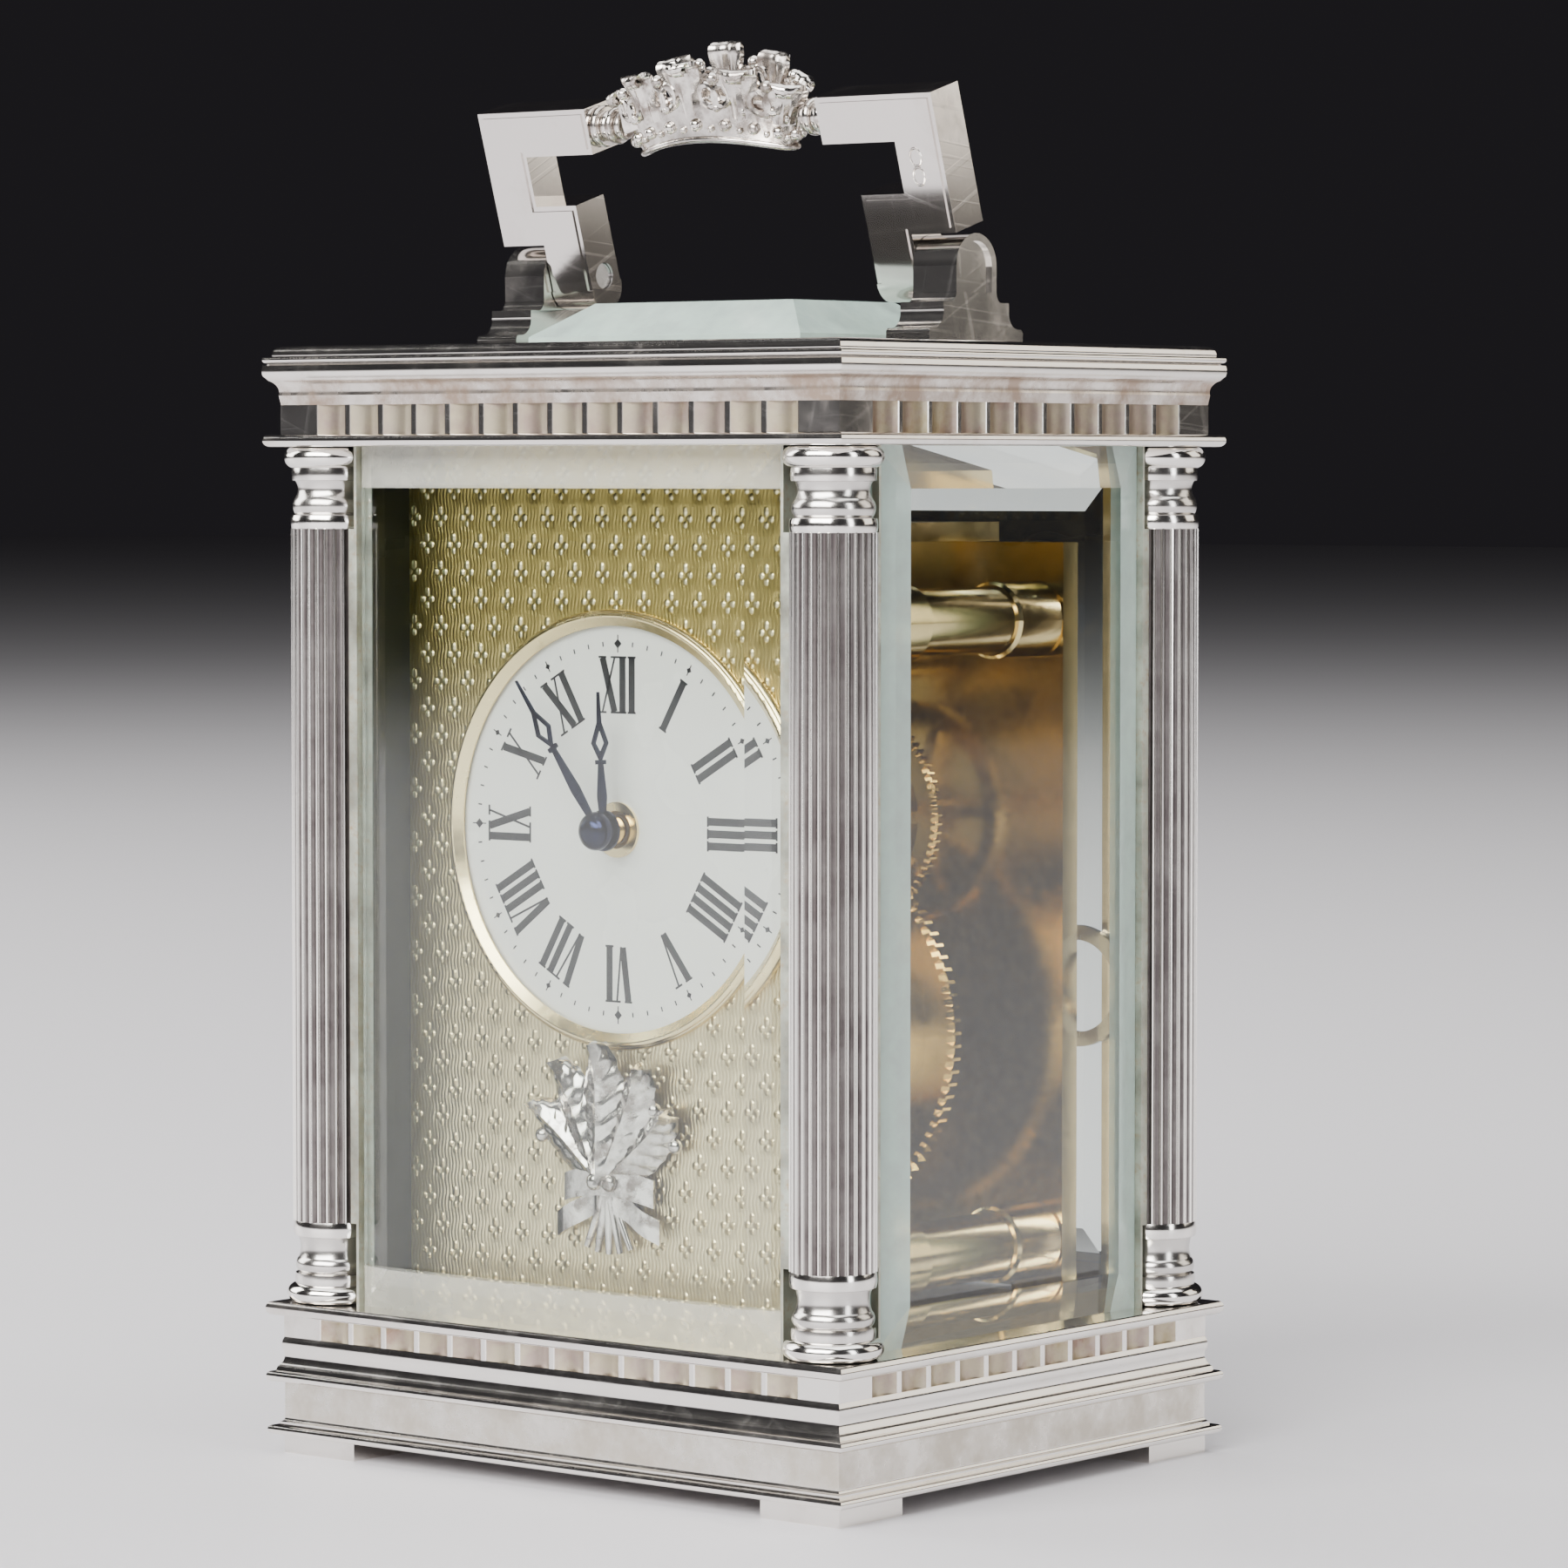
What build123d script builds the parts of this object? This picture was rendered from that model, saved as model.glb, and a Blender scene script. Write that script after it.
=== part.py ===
"""Small silver carriage clock with a lever-platform movement.

Frame: millimetres, +Z up, front of the clock towards -Y, origin under the middle of the base
at the level of the feet. Every piece is one entry of `nodes` and one STEP file.
"""
import os
from math import atan2, cos, degrees, pi, radians, sin, sqrt

from build123d import *

# ---------------------------------------------------------------- driving dimensions
CASE_HALF_X = 35.0            # widest flange, half width
CASE_HALF_Y = 29.0            # widest flange, half depth
BAND_INSET = 1.26             # dentil bands stand this far inside the flanges
FOOT_HEIGHT = 1.8
FOOT_LENGTH = 9.0
BASE_MOULDING_TOP = 11.05
BASE_BAND_TOP = 13.2
BASE_PLATE_TOP = 14.4
CORNICE_BOTTOM = 95.3
CORNICE_FLANGE_TOP = 96.4
CORNICE_BAND_TOP = 99.2
CORNICE_MOULDING_TOP = 103.7
TOP_SURFACE = 104.7
BASE_WALL = 4.0
CORNICE_WALL = 7.0

COLUMN_X = 30.3
COLUMN_Y = 24.3
SHAFT_RADIUS = 3.95
FLUTES = 28
FLUTE_RADIUS = 0.40
FLUTE_CENTRE_OUT = 0.12
SHAFT_BOTTOM = 22.2
SHAFT_TOP = 87.6
TORUS_CLEARANCE_RADIUS = 4.65
SHAFT_CLEARANCE_RADIUS = 4.02

DENTIL_CORNER = 4.65          # plain block at each end of a dentil band
DENTIL_RIB = 0.5
DENTIL_DEPTH = 0.5
FRONT_NICHES = 14
SIDE_NICHES = 11

GLASS_THICKNESS = 2.5
GLASS_BEVEL = 3.85
GLASS_BEVEL_DEPTH = 1.0
FRONT_GLASS_HALF = 25.6
FRONT_GLASS_FACE_Y = -26.3
SIDE_GLASS_HALF = 19.65
SIDE_GLASS_FACE_X = 32.3
TOP_GLASS_HALF_X = 16.5
TOP_GLASS_HALF_Y = 12.0
TOP_GLASS_FLAT_X = 12.0
TOP_GLASS_FLAT_Y = 7.5
TOP_GLASS_EDGE_Z = 105.6
TOP_GLASS_TOP = 108.8
TOP_GLASS_LEDGE = 1.6

DOOR_HALF = 25.4
DOOR_INNER_Y = 24.4
DOOR_OUTER_Y = 27.2
DOOR_GAP = 0.3
DOOR_RAIL = 3.6
DOOR_GLASS_THICKNESS = 2.0
DOOR_HINGE_X = -23.9
DOOR_HINGE_Y = 25.8
DOOR_PIN_RADIUS = 0.7
RUNNING_CLEARANCE = 0.05
FIXED_CLEARANCE = 0.01

HANDLE_PIVOT_Z = 111.7
HANDLE_LEAN = 17.0            # the handle rests leaning forward by this angle
BRACKET_INNER_X = 22.5
BRACKET_OUTER_X = 27.5
HANDLE_PIN_RADIUS = 1.2
HANDLE_HALF_DEPTH = 2.25
HANDLE_PANEL_RISE = 0.15
HANDLE_PANEL_INSET = 0.5

DIAL_Z = 60.0                 # height of the centre arbor and of the dial's centre
DIAL_RADIUS = 19.0
MASK_FACE_Y = -17.5
MASK_BACK_Y = -16.5
MASK_HALF = 28.0
DIAL_FACE_Y = -17.2
HOUR_HAND_Y = -19.4
MINUTE_HAND_Y = -20.1
HAND_THICKNESS = 0.3
HOUR_HAND_ANGLE = 3.0         # anticlockwise from twelve, seen from the front
MINUTE_HAND_ANGLE = 36.6

FRONT_PLATE_FRONT = -9.2
FRONT_PLATE_BACK = -6.9
BACK_PLATE_FRONT = 19.6
BACK_PLATE_BACK = 21.9
PLATE_HALF_X = 21.5
PLATE_TOP = 86.3
PILLAR_X = 18.0
PILLAR_Z = (20.0, 79.0)
PILLAR_RADIUS = 3.15
PILLAR_COLLAR_RADIUS = 3.65
PILLAR_COLLAR_LENGTH = 6.7
SCREW_SHANK = 0.8
SCREW_HEAD = 1.7
SCREW_HEAD_HEIGHT = 0.9

GREAT_TEETH = 96
CENTRE_PINION_LEAVES = 12
GREAT_MODULE = 0.3854
GREAT_RIM = 3.2
CENTRE_TEETH = 80
THIRD_PINION_LEAVES = 10
CENTRE_MODULE = 0.26
THIRD_TEETH = 75
CONTRATE_PINION_LEAVES = 10
THIRD_MODULE = 0.24
CONTRATE_TEETH = 70
ESCAPE_PINION_LEAVES = 7
CONTRATE_MODULE = 0.1843
CROWN_RADIUS = 6.45
CROWN_TIP_Y = 4.24
CANNON_LEAVES = 10
MINUTE_WHEEL_TEETH = 30
MINUTE_PINION_LEAVES = 8
HOUR_WHEEL_TEETH = 32
MOTION_MODULE = 0.3
ESCAPE_TEETH = 15
RATCHET_TEETH = 24

WHEEL_THICKNESS = 1.1
BARREL_X = -3.5
THIRD_X = -8.5
BARREL_RADIUS = 15.5
BARREL_WALL = 1.0
ARBOR_RADIUS = 0.9
PIVOT_RADIUS = 0.5

PLATFORM_HALF_X = 14.0
PLATFORM_Y = (-6.0, 19.5)
PLATFORM_Z = (86.4, 88.2)
ESCAPE_Y = 4.75
LEVER_Y = 9.2
BALANCE_Y = 13.6
BALANCE_RADIUS = 5.5

nodes = {}


# ---------------------------------------------------------------- helpers
def block(x_range, y_range, z_range):
    """Box given by its low and high coordinates along each axis."""
    size = [high - low for low, high in (x_range, y_range, z_range)]
    middle = [(high + low) / 2 for low, high in (x_range, y_range, z_range)]
    return Pos(*middle) * Box(*size)


def front_slab(sketch, y_start, y_end):
    """Extrude a sketch drawn as seen from the front (X right, Z up) from y_start back to y_end."""
    return extrude(Plane.XZ.offset(-y_start) * sketch, amount=-(y_end - y_start))


def rod_y(x, z, radius, y_start, y_end):
    """Round rod lying front to back."""
    return front_slab(Pos(x, z) * Circle(radius), y_start, y_end)


def rod_z(x, y, radius, z_start, z_end):
    """Round upright rod."""
    return extrude(Plane.XY.offset(z_start) * Pos(x, y) * Circle(radius), amount=z_end - z_start)


def rod_x(y, z, radius, x_start, x_end):
    """Round rod lying left to right."""
    return extrude(Plane.YZ.offset(x_start) * Pos(y, z) * Circle(radius), amount=x_end - x_start)


def moulded_edge(points):
    """Edges through (across, up, bulge) points; bulge is how far an arc swells to the right."""
    edges = []
    for (start_across, start_up, _), (end_across, end_up, bulge) in zip(points, points[1:]):
        start = (start_across, start_up)
        end = (end_across, end_up)
        if not bulge:
            edges.append(Line(start, end))
            continue
        run = end_across - start_across
        rise = end_up - start_up
        length = sqrt(run * run + rise * rise)
        middle = ((start_across + end_across) / 2 + bulge * rise / length,
                  (start_up + end_up) / 2 - bulge * run / length)
        edges.append(ThreePointArc(start, middle, end))
    return edges


def mitred_moulding(steps):
    """Rectangular block whose four sides carry one moulded edge, mitred at the corners.

    steps is a list of (inset from the flange line, height, bulge).
    """
    slabs = []
    for plane, half in ((Plane.YZ, CASE_HALF_Y), (Plane.XZ, CASE_HALF_X)):
        right = moulded_edge([(half - inset, height, bulge) for inset, height, bulge in steps])
        left = [mirror(edge, about=Plane.YZ) for edge in right]
        bottom_inset, bottom, _ = steps[0]
        top_inset, top, _ = steps[-1]
        closing = [Line((half - bottom_inset, bottom), (bottom_inset - half, bottom)),
                   Line((half - top_inset, top), (top_inset - half, top))]
        face = make_face(Curve() + right + left + closing)
        slabs.append(extrude(plane * face, amount=2 * CASE_HALF_X, both=True))
    return slabs[0] & slabs[1]


def turned(points, x, y):
    """Solid of revolution about an upright axis from (radius, height, bulge) points."""
    first = points[0]
    last = points[-1]
    edges = moulded_edge(points)
    edges.append(Line((last[0], last[1]), (0, last[1])))
    edges.append(Line((0, last[1]), (0, first[1])))
    edges.append(Line((0, first[1]), (first[0], first[1])))
    return Pos(x, y, 0) * revolve(Plane.XZ * make_face(Curve() + edges), axis=Axis.Z)


def bevelled_plate(width, height, thickness, bevel, bevel_depth):
    """Plate on the XY plane whose top face has a wide flat bevel all round."""
    lower = thickness - bevel_depth
    slab = extrude(Rectangle(width, height), amount=lower)
    top = Plane.XY.offset(thickness) * Rectangle(width - 2 * bevel, height - 2 * bevel)
    crown = loft([Plane.XY.offset(lower) * Rectangle(width, height), top])
    return slab + crown


def gear_sketch(teeth, module, turn):
    """Toothed outline with a tooth centred at the angle `turn` in degrees."""
    radius = teeth * module / 2
    root = radius - 1.15 * module
    tip = radius + 0.8 * module
    pitch = 360 / teeth
    points = []
    for tooth in range(teeth):
        for offset, reach in ((-0.27, root), (-0.12, tip), (0.12, tip), (0.27, root)):
            angle = radians(turn + (tooth + offset) * pitch)
            points.append((reach * cos(angle), reach * sin(angle)))
    return make_face(Polyline(points, close=True))


def crossed_wheel(teeth, module, turn, spokes, hub, rim):
    """Toothed wheel sketch with spokes between the hub and the rim."""
    inner = teeth * module / 2 - rim
    sketch = gear_sketch(teeth, module, turn)
    sketch -= Circle(inner)
    sketch += Circle(hub)
    middle = (inner + hub) / 2
    for index in range(spokes):
        sketch += Rot(0, 0, index * 360 / spokes) * Pos(middle, 0) * Rectangle(inner - hub + 0.6, 1.1)
    return sketch


def mesh_turns(teeth_a, teeth_b, place_a, place_b):
    """Turn angles that put a tooth of A into a gap of B on the line between their centres."""
    line = degrees(atan2(place_b[1] - place_a[1], place_b[0] - place_a[0]))
    return line, line + 180 + 180 / teeth_b


def mirrored_pair(right, name):
    """Store a right-hand piece and its left-hand mirror image."""
    nodes[f"{name}_right"] = right
    nodes[f"{name}_left"] = mirror(right, about=Plane.YZ)


# ---------------------------------------------------------------- base
def base_pieces():
    """Feet, moulded base, dentil band and the plate the columns stand on."""
    outer_x = CASE_HALF_X - BAND_INSET
    outer_y = CASE_HALF_Y - BAND_INSET
    foot = Part()
    for side_x in (-1, 1):
        for side_y in (-1, 1):
            centre = Pos(side_x * (outer_x - FOOT_LENGTH / 2), side_y * (outer_y - FOOT_LENGTH / 2),
                         FOOT_HEIGHT / 2)
            foot += centre * Box(FOOT_LENGTH, FOOT_LENGTH, FOOT_HEIGHT)
    nodes["feet"] = foot

    steps = [(0.45, FOOT_HEIGHT, 0), (0.45, 2.65, 0.35), (0.95, 2.65, 0), (0.95, 2.95, 0),
             (1.3, 3.4, -0.12), (1.3, 6.8, 0), (0.35, 6.85, 0), (0.35, 7.8, 0.33), (0.7, 7.85, 0),
             (0.8, 8.2, 0), (1.15, 9.9, -0.3), (1.3, BASE_MOULDING_TOP, 0.12)]
    hollow = block((-CASE_HALF_X + BASE_WALL, CASE_HALF_X - BASE_WALL),
                   (-CASE_HALF_Y + BASE_WALL, CASE_HALF_Y - BASE_WALL),
                   (FOOT_HEIGHT + 1.5, BASE_MOULDING_TOP))
    nodes["base_moulding"] = mitred_moulding(steps) - hollow
    nodes["base_dentil_band"] = dentil_band(BASE_MOULDING_TOP, BASE_BAND_TOP, BASE_WALL)

    steps = [(0.3, BASE_BAND_TOP, 0), (0.3, BASE_PLATE_TOP, 0.3)]
    plate = mitred_moulding(steps)
    plate -= rod_z(DOOR_HINGE_X, DOOR_HINGE_Y, DOOR_PIN_RADIUS + FIXED_CLEARANCE,
                   BASE_PLATE_TOP - 1.0, BASE_PLATE_TOP)
    nodes["base_plate"] = plate


def dentil_band(bottom, top, wall):
    """Hollow band with shallow scooped niches between thin ribs, plain at the corners."""
    half_x = CASE_HALF_X - BAND_INSET
    half_y = CASE_HALF_Y - BAND_INSET
    sketch = Rectangle(2 * half_x, 2 * half_y)
    sketch -= Rectangle(2 * (CASE_HALF_X - wall), 2 * (CASE_HALF_Y - wall))
    for half_run, half_face, count, turn in ((half_x, half_y, FRONT_NICHES, 0),
                                             (half_y, half_x, SIDE_NICHES, 90)):
        span = 2 * (half_run - DENTIL_CORNER)
        pitch = (span + DENTIL_RIB) / count
        chord = pitch - DENTIL_RIB
        radius = (chord * chord / 4 + DENTIL_DEPTH * DENTIL_DEPTH) / (2 * DENTIL_DEPTH)
        reach = half_face + radius - DENTIL_DEPTH
        for index in range(count):
            along = -span / 2 + chord / 2 + index * pitch
            for side in (0, 180):
                sketch -= Rot(0, 0, turn + side) * Pos(along, reach) * Circle(radius)
    return extrude(Plane.XY.offset(bottom) * sketch, amount=top - bottom)


def cornice_pieces():
    """Thin flange, dentil band, cavetto moulding and top plate with the glass opening."""
    opening = block((-CASE_HALF_X + CORNICE_WALL, CASE_HALF_X - CORNICE_WALL),
                    (-CASE_HALF_Y + CORNICE_WALL, CASE_HALF_Y - CORNICE_WALL),
                    (CORNICE_BOTTOM, CORNICE_MOULDING_TOP))
    steps = [(0.5, CORNICE_BOTTOM, 0), (0.5, CORNICE_FLANGE_TOP, 0.45)]
    flange = mitred_moulding(steps) - opening
    flange -= rod_z(DOOR_HINGE_X, DOOR_HINGE_Y, DOOR_PIN_RADIUS + FIXED_CLEARANCE,
                    CORNICE_BOTTOM, CORNICE_BOTTOM + 1.0)
    nodes["cornice_flange"] = flange
    nodes["cornice_dentil_band"] = dentil_band(CORNICE_FLANGE_TOP, CORNICE_BAND_TOP, CORNICE_WALL)

    steps = [(1.3, CORNICE_BAND_TOP, 0), (1.15, 100.1, 0), (0.45, 101.5, -0.28), (0.3, 101.7, 0),
             (0.1, 101.9, 0), (0.1, 102.9, 0.08), (0.45, 103.05, 0), (0.45, 103.15, 0),
             (0.3, 103.15, 0), (0.3, CORNICE_MOULDING_TOP, 0.25)]
    nodes["cornice_moulding"] = mitred_moulding(steps) - opening

    steps = [(0.75, CORNICE_MOULDING_TOP, 0), (1.5, TOP_SURFACE, 0.3)]
    gap = FIXED_CLEARANCE
    plate = mitred_moulding(steps)
    plate -= block((-TOP_GLASS_HALF_X - gap, TOP_GLASS_HALF_X + gap),
                   (-TOP_GLASS_HALF_Y - gap, TOP_GLASS_HALF_Y + gap),
                   (CORNICE_MOULDING_TOP, TOP_SURFACE))
    nodes["top_plate"] = plate

    ledge = block((-CASE_HALF_X + CORNICE_WALL, CASE_HALF_X - CORNICE_WALL),
                  (-CASE_HALF_Y + CORNICE_WALL, CASE_HALF_Y - CORNICE_WALL),
                  (CORNICE_MOULDING_TOP - 1.0, CORNICE_MOULDING_TOP))
    ledge -= block((-TOP_GLASS_HALF_X + TOP_GLASS_LEDGE, TOP_GLASS_HALF_X - TOP_GLASS_LEDGE),
                   (-TOP_GLASS_HALF_Y + TOP_GLASS_LEDGE, TOP_GLASS_HALF_Y - TOP_GLASS_LEDGE),
                   (CORNICE_MOULDING_TOP - 1.0, CORNICE_MOULDING_TOP))
    nodes["top_glass_frame"] = ledge


def column(x, y):
    """Fluted column with a turned base and capital."""
    flutes = Circle(SHAFT_RADIUS)
    for index in range(FLUTES):
        flute = Pos(SHAFT_RADIUS + FLUTE_CENTRE_OUT, 0) * Circle(FLUTE_RADIUS)
        flutes -= Rot(0, 0, index * 360 / FLUTES) * flute
    shaft = Pos(x, y, SHAFT_BOTTOM) * extrude(flutes, amount=SHAFT_TOP - SHAFT_BOTTOM)
    low = [(3.75, 0, 0), (3.75, 1.8, 0.8), (3.75, 2.8, 0.05), (3.4, 2.85, 0), (3.45, 4.3, 0.3),
           (3.5, 6.3, -0.2), (3.85, 6.4, 0), (3.85, 7.8, 0.1)]
    high = [(3.85, 0, 0), (3.85, 1.25, 0.1), (3.5, 1.35, 0), (3.45, 3.0, 0.28), (3.5, 4.5, -0.22),
            (3.8, 4.55, 0), (3.8, 5.7, 0.05), (3.75, 5.7, 0), (3.75, 7.7, 0.8)]
    base = turned([(radius, BASE_PLATE_TOP + up, bulge) for radius, up, bulge in low], x, y)
    capital = turned([(radius, SHAFT_TOP + up, bulge) for radius, up, bulge in high], x, y)
    return shaft + base + capital


def corner_post(side_x, side_y):
    """Upright bar behind a column, rebated for the panes and hollowed round the column."""
    inner_x, back_limit = (24.5, 26.0) if side_y < 0 else (28.2, 23.6)
    bar = block((inner_x, 32.0), (18.8, back_limit), (BASE_PLATE_TOP, CORNICE_BOTTOM))
    bar -= block((0, FRONT_GLASS_HALF + 0.05), (-FRONT_GLASS_FACE_Y - GLASS_THICKNESS - 0.05, 30), (0, 100))
    bar -= block((SIDE_GLASS_FACE_X - GLASS_THICKNESS - 0.05, 35), (0, SIDE_GLASS_HALF + 0.05), (0, 100))
    bar -= rod_z(COLUMN_X, COLUMN_Y, SHAFT_CLEARANCE_RADIUS, BASE_PLATE_TOP, CORNICE_BOTTOM)
    for low, high in ((BASE_PLATE_TOP, SHAFT_BOTTOM), (SHAFT_TOP, CORNICE_BOTTOM)):
        bar -= rod_z(COLUMN_X, COLUMN_Y, TORUS_CLEARANCE_RADIUS, low, high)
    if side_x < 0:
        bar = mirror(bar, about=Plane.YZ)
    if side_y < 0:
        bar = mirror(bar, about=Plane.XZ)
    return bar


def upright_pieces():
    """Columns, corner posts and the three fixed panes."""
    posts = Part()
    for side_y, depth_name in ((-1, "front"), (1, "back")):
        for side_x, side_name in ((-1, "left"), (1, "right")):
            nodes[f"column_{depth_name}_{side_name}"] = column(side_x * COLUMN_X, side_y * COLUMN_Y)
            posts += corner_post(side_x, side_y)
    nodes["corner_posts"] = posts

    height = CORNICE_BOTTOM - BASE_PLATE_TOP
    middle = (CORNICE_BOTTOM + BASE_PLATE_TOP) / 2
    pane = bevelled_plate(2 * FRONT_GLASS_HALF, height, GLASS_THICKNESS, GLASS_BEVEL, GLASS_BEVEL_DEPTH)
    back = FRONT_GLASS_FACE_Y + GLASS_THICKNESS
    nodes["front_glass"] = Location(Plane((0, back, middle), x_dir=(1, 0, 0), z_dir=(0, -1, 0))) * pane
    pane = bevelled_plate(2 * SIDE_GLASS_HALF, height, GLASS_THICKNESS, GLASS_BEVEL, GLASS_BEVEL_DEPTH)
    inside = SIDE_GLASS_FACE_X - GLASS_THICKNESS
    right = Location(Plane((inside, 0, middle), x_dir=(0, 1, 0), z_dir=(1, 0, 0))) * pane
    mirrored_pair(right, "side_glass")


def top_glass():
    """Thick pane standing proud of the top plate with a broad bevel."""
    lower = block((-TOP_GLASS_HALF_X, TOP_GLASS_HALF_X), (-TOP_GLASS_HALF_Y, TOP_GLASS_HALF_Y),
                  (CORNICE_MOULDING_TOP, TOP_GLASS_EDGE_Z))
    foot = Plane.XY.offset(TOP_GLASS_EDGE_Z) * Rectangle(2 * TOP_GLASS_HALF_X, 2 * TOP_GLASS_HALF_Y)
    crown = Plane.XY.offset(TOP_GLASS_TOP) * Rectangle(2 * TOP_GLASS_FLAT_X, 2 * TOP_GLASS_FLAT_Y)
    nodes["top_glass"] = lower + loft([foot, crown])


# ---------------------------------------------------------------- handle
def bracket():
    """Right-hand bracket: stepped plinth, concave flanks and a round-topped ear."""
    arch = 3.0
    right = moulded_edge([(7.0, TOP_SURFACE, 0), (7.0, 105.5, 0), (6.6, 106.0, 0.15), (6.3, 106.0, 0),
                          (4.9, 107.7, -0.5), (4.9, 108.4, 0), (3.6, 108.4, 0), (arch, 109.3, -0.15),
                          (arch, HANDLE_PIVOT_Z, 0)])
    left = [mirror(edge, about=Plane.YZ) for edge in right]
    crown = ThreePointArc((arch, HANDLE_PIVOT_Z), (0, HANDLE_PIVOT_Z + arch), (-arch, HANDLE_PIVOT_Z))
    floor = Line((-7.0, TOP_SURFACE), (7.0, TOP_SURFACE))
    face = make_face(Curve() + right + left + [crown, floor])
    body = extrude(Plane.YZ.offset(BRACKET_INNER_X) * face, amount=BRACKET_OUTER_X - BRACKET_INNER_X)
    panel = Pos(0, HANDLE_PIVOT_Z) * Circle(arch - 0.7)
    panel += Pos(0, HANDLE_PIVOT_Z - 1.2) * Rectangle(2 * (arch - 0.7), 2.4)
    body -= extrude(Plane.YZ.offset(BRACKET_OUTER_X - 0.35) * panel, amount=1.0)
    bore_end = BRACKET_OUTER_X - 1.2
    body -= rod_x(0, HANDLE_PIVOT_Z, HANDLE_PIN_RADIUS + FIXED_CLEARANCE, BRACKET_INNER_X, bore_end)
    return body


def in_handle(solid):
    """Place a solid drawn with the pivot at the origin and the handle upright."""
    return Location((0, 0, HANDLE_PIVOT_Z), (HANDLE_LEAN, 0, 0)) * solid


def handle_arm():
    """Right-hand arm: a stepped Greek key with thin raised faces front and back."""
    corners = [(14.0, 12.4), (22.4, 12.4), (22.4, 7.5), (17.4, 7.5), (17.4, -2.4), (22.4, -2.4),
               (22.4, 3.7), (27.5, 3.7), (27.5, 16.8), (14.0, 16.8)]
    key = make_face(Polyline(corners, close=True))
    depth = HANDLE_HALF_DEPTH - HANDLE_PANEL_RISE
    body = extrude(Plane.XZ * key, amount=depth, both=True)
    panel = offset(key, amount=-HANDLE_PANEL_INSET, kind=Kind.INTERSECTION)
    body += extrude(Plane.XZ * panel, amount=HANDLE_HALF_DEPTH, both=True)
    foot = rod_x(0, -0.95, HANDLE_HALF_DEPTH, 17.4, 22.4)
    square = block((17.4, 22.4), (-3, 3), (-3.3, -0.95))
    body -= square
    body += foot & block((17.4, 22.4), (-3, 3), (-3.3, -0.9))
    body -= rod_x(0, 0, HANDLE_PIN_RADIUS + RUNNING_CLEARANCE, 17.0, 23.0)
    return body


def crest():
    """Leafy crest: a flared, pierced oval crown joining the two arms."""
    height = 12.0
    low = Plane.XY.offset(10.4) * Ellipse(9.2, 2.9)
    high = Plane.XY.offset(10.4 + height) * Ellipse(13.2, 4.0)
    low_in = Plane.XY.offset(10.4) * Ellipse(8.1, 1.8)
    high_in = Plane.XY.offset(10.4 + height) * Ellipse(12.1, 2.9)
    shell = loft([low, high]) - loft([low_in, high_in])
    outline = Pos(0, 16.0) * Rectangle(28, 6.0) + Pos(0, 13.0) * Rectangle(22, 6.0)
    outline -= Pos(0, -13.1) * Circle(26.3)
    for middle, lift, reach in ((0, 19.3, 2.4), (-5.4, 19.0, 2.0), (5.4, 19.0, 2.0),
                                (-10.4, 17.7, 1.7), (10.4, 17.7, 1.7)):
        outline += Pos(middle, lift) * Circle(reach)
    for middle in (-8, -2.7, 2.7, 8):
        outline -= Pos(middle, 17.0) * Circle(0.9)
    body = shell & extrude(Plane.XZ * outline, amount=6, both=True)
    for side in (-1, 1):
        neck = block((11.0, 14.0), (-1.5, 1.5), (13.1, 16.1)) - loft([low_in, high_in])
        body += neck if side > 0 else mirror(neck, about=Plane.YZ)
    return body


def handle_pieces():
    """Brackets, pivot pins, arms and crest."""
    mirrored_pair(bracket(), "handle_bracket")
    pins = Part()
    for side in (-1, 1):
        pin = rod_x(0, HANDLE_PIVOT_Z, HANDLE_PIN_RADIUS, 17.7, BRACKET_OUTER_X - 1.2)
        pins += pin if side > 0 else mirror(pin, about=Plane.YZ)
    nodes["handle_pins"] = pins
    arm = handle_arm()
    nodes["handle_arm_right"] = in_handle(arm)
    nodes["handle_arm_left"] = in_handle(mirror(arm, about=Plane.YZ))
    nodes["handle_crest"] = in_handle(crest())


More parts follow.
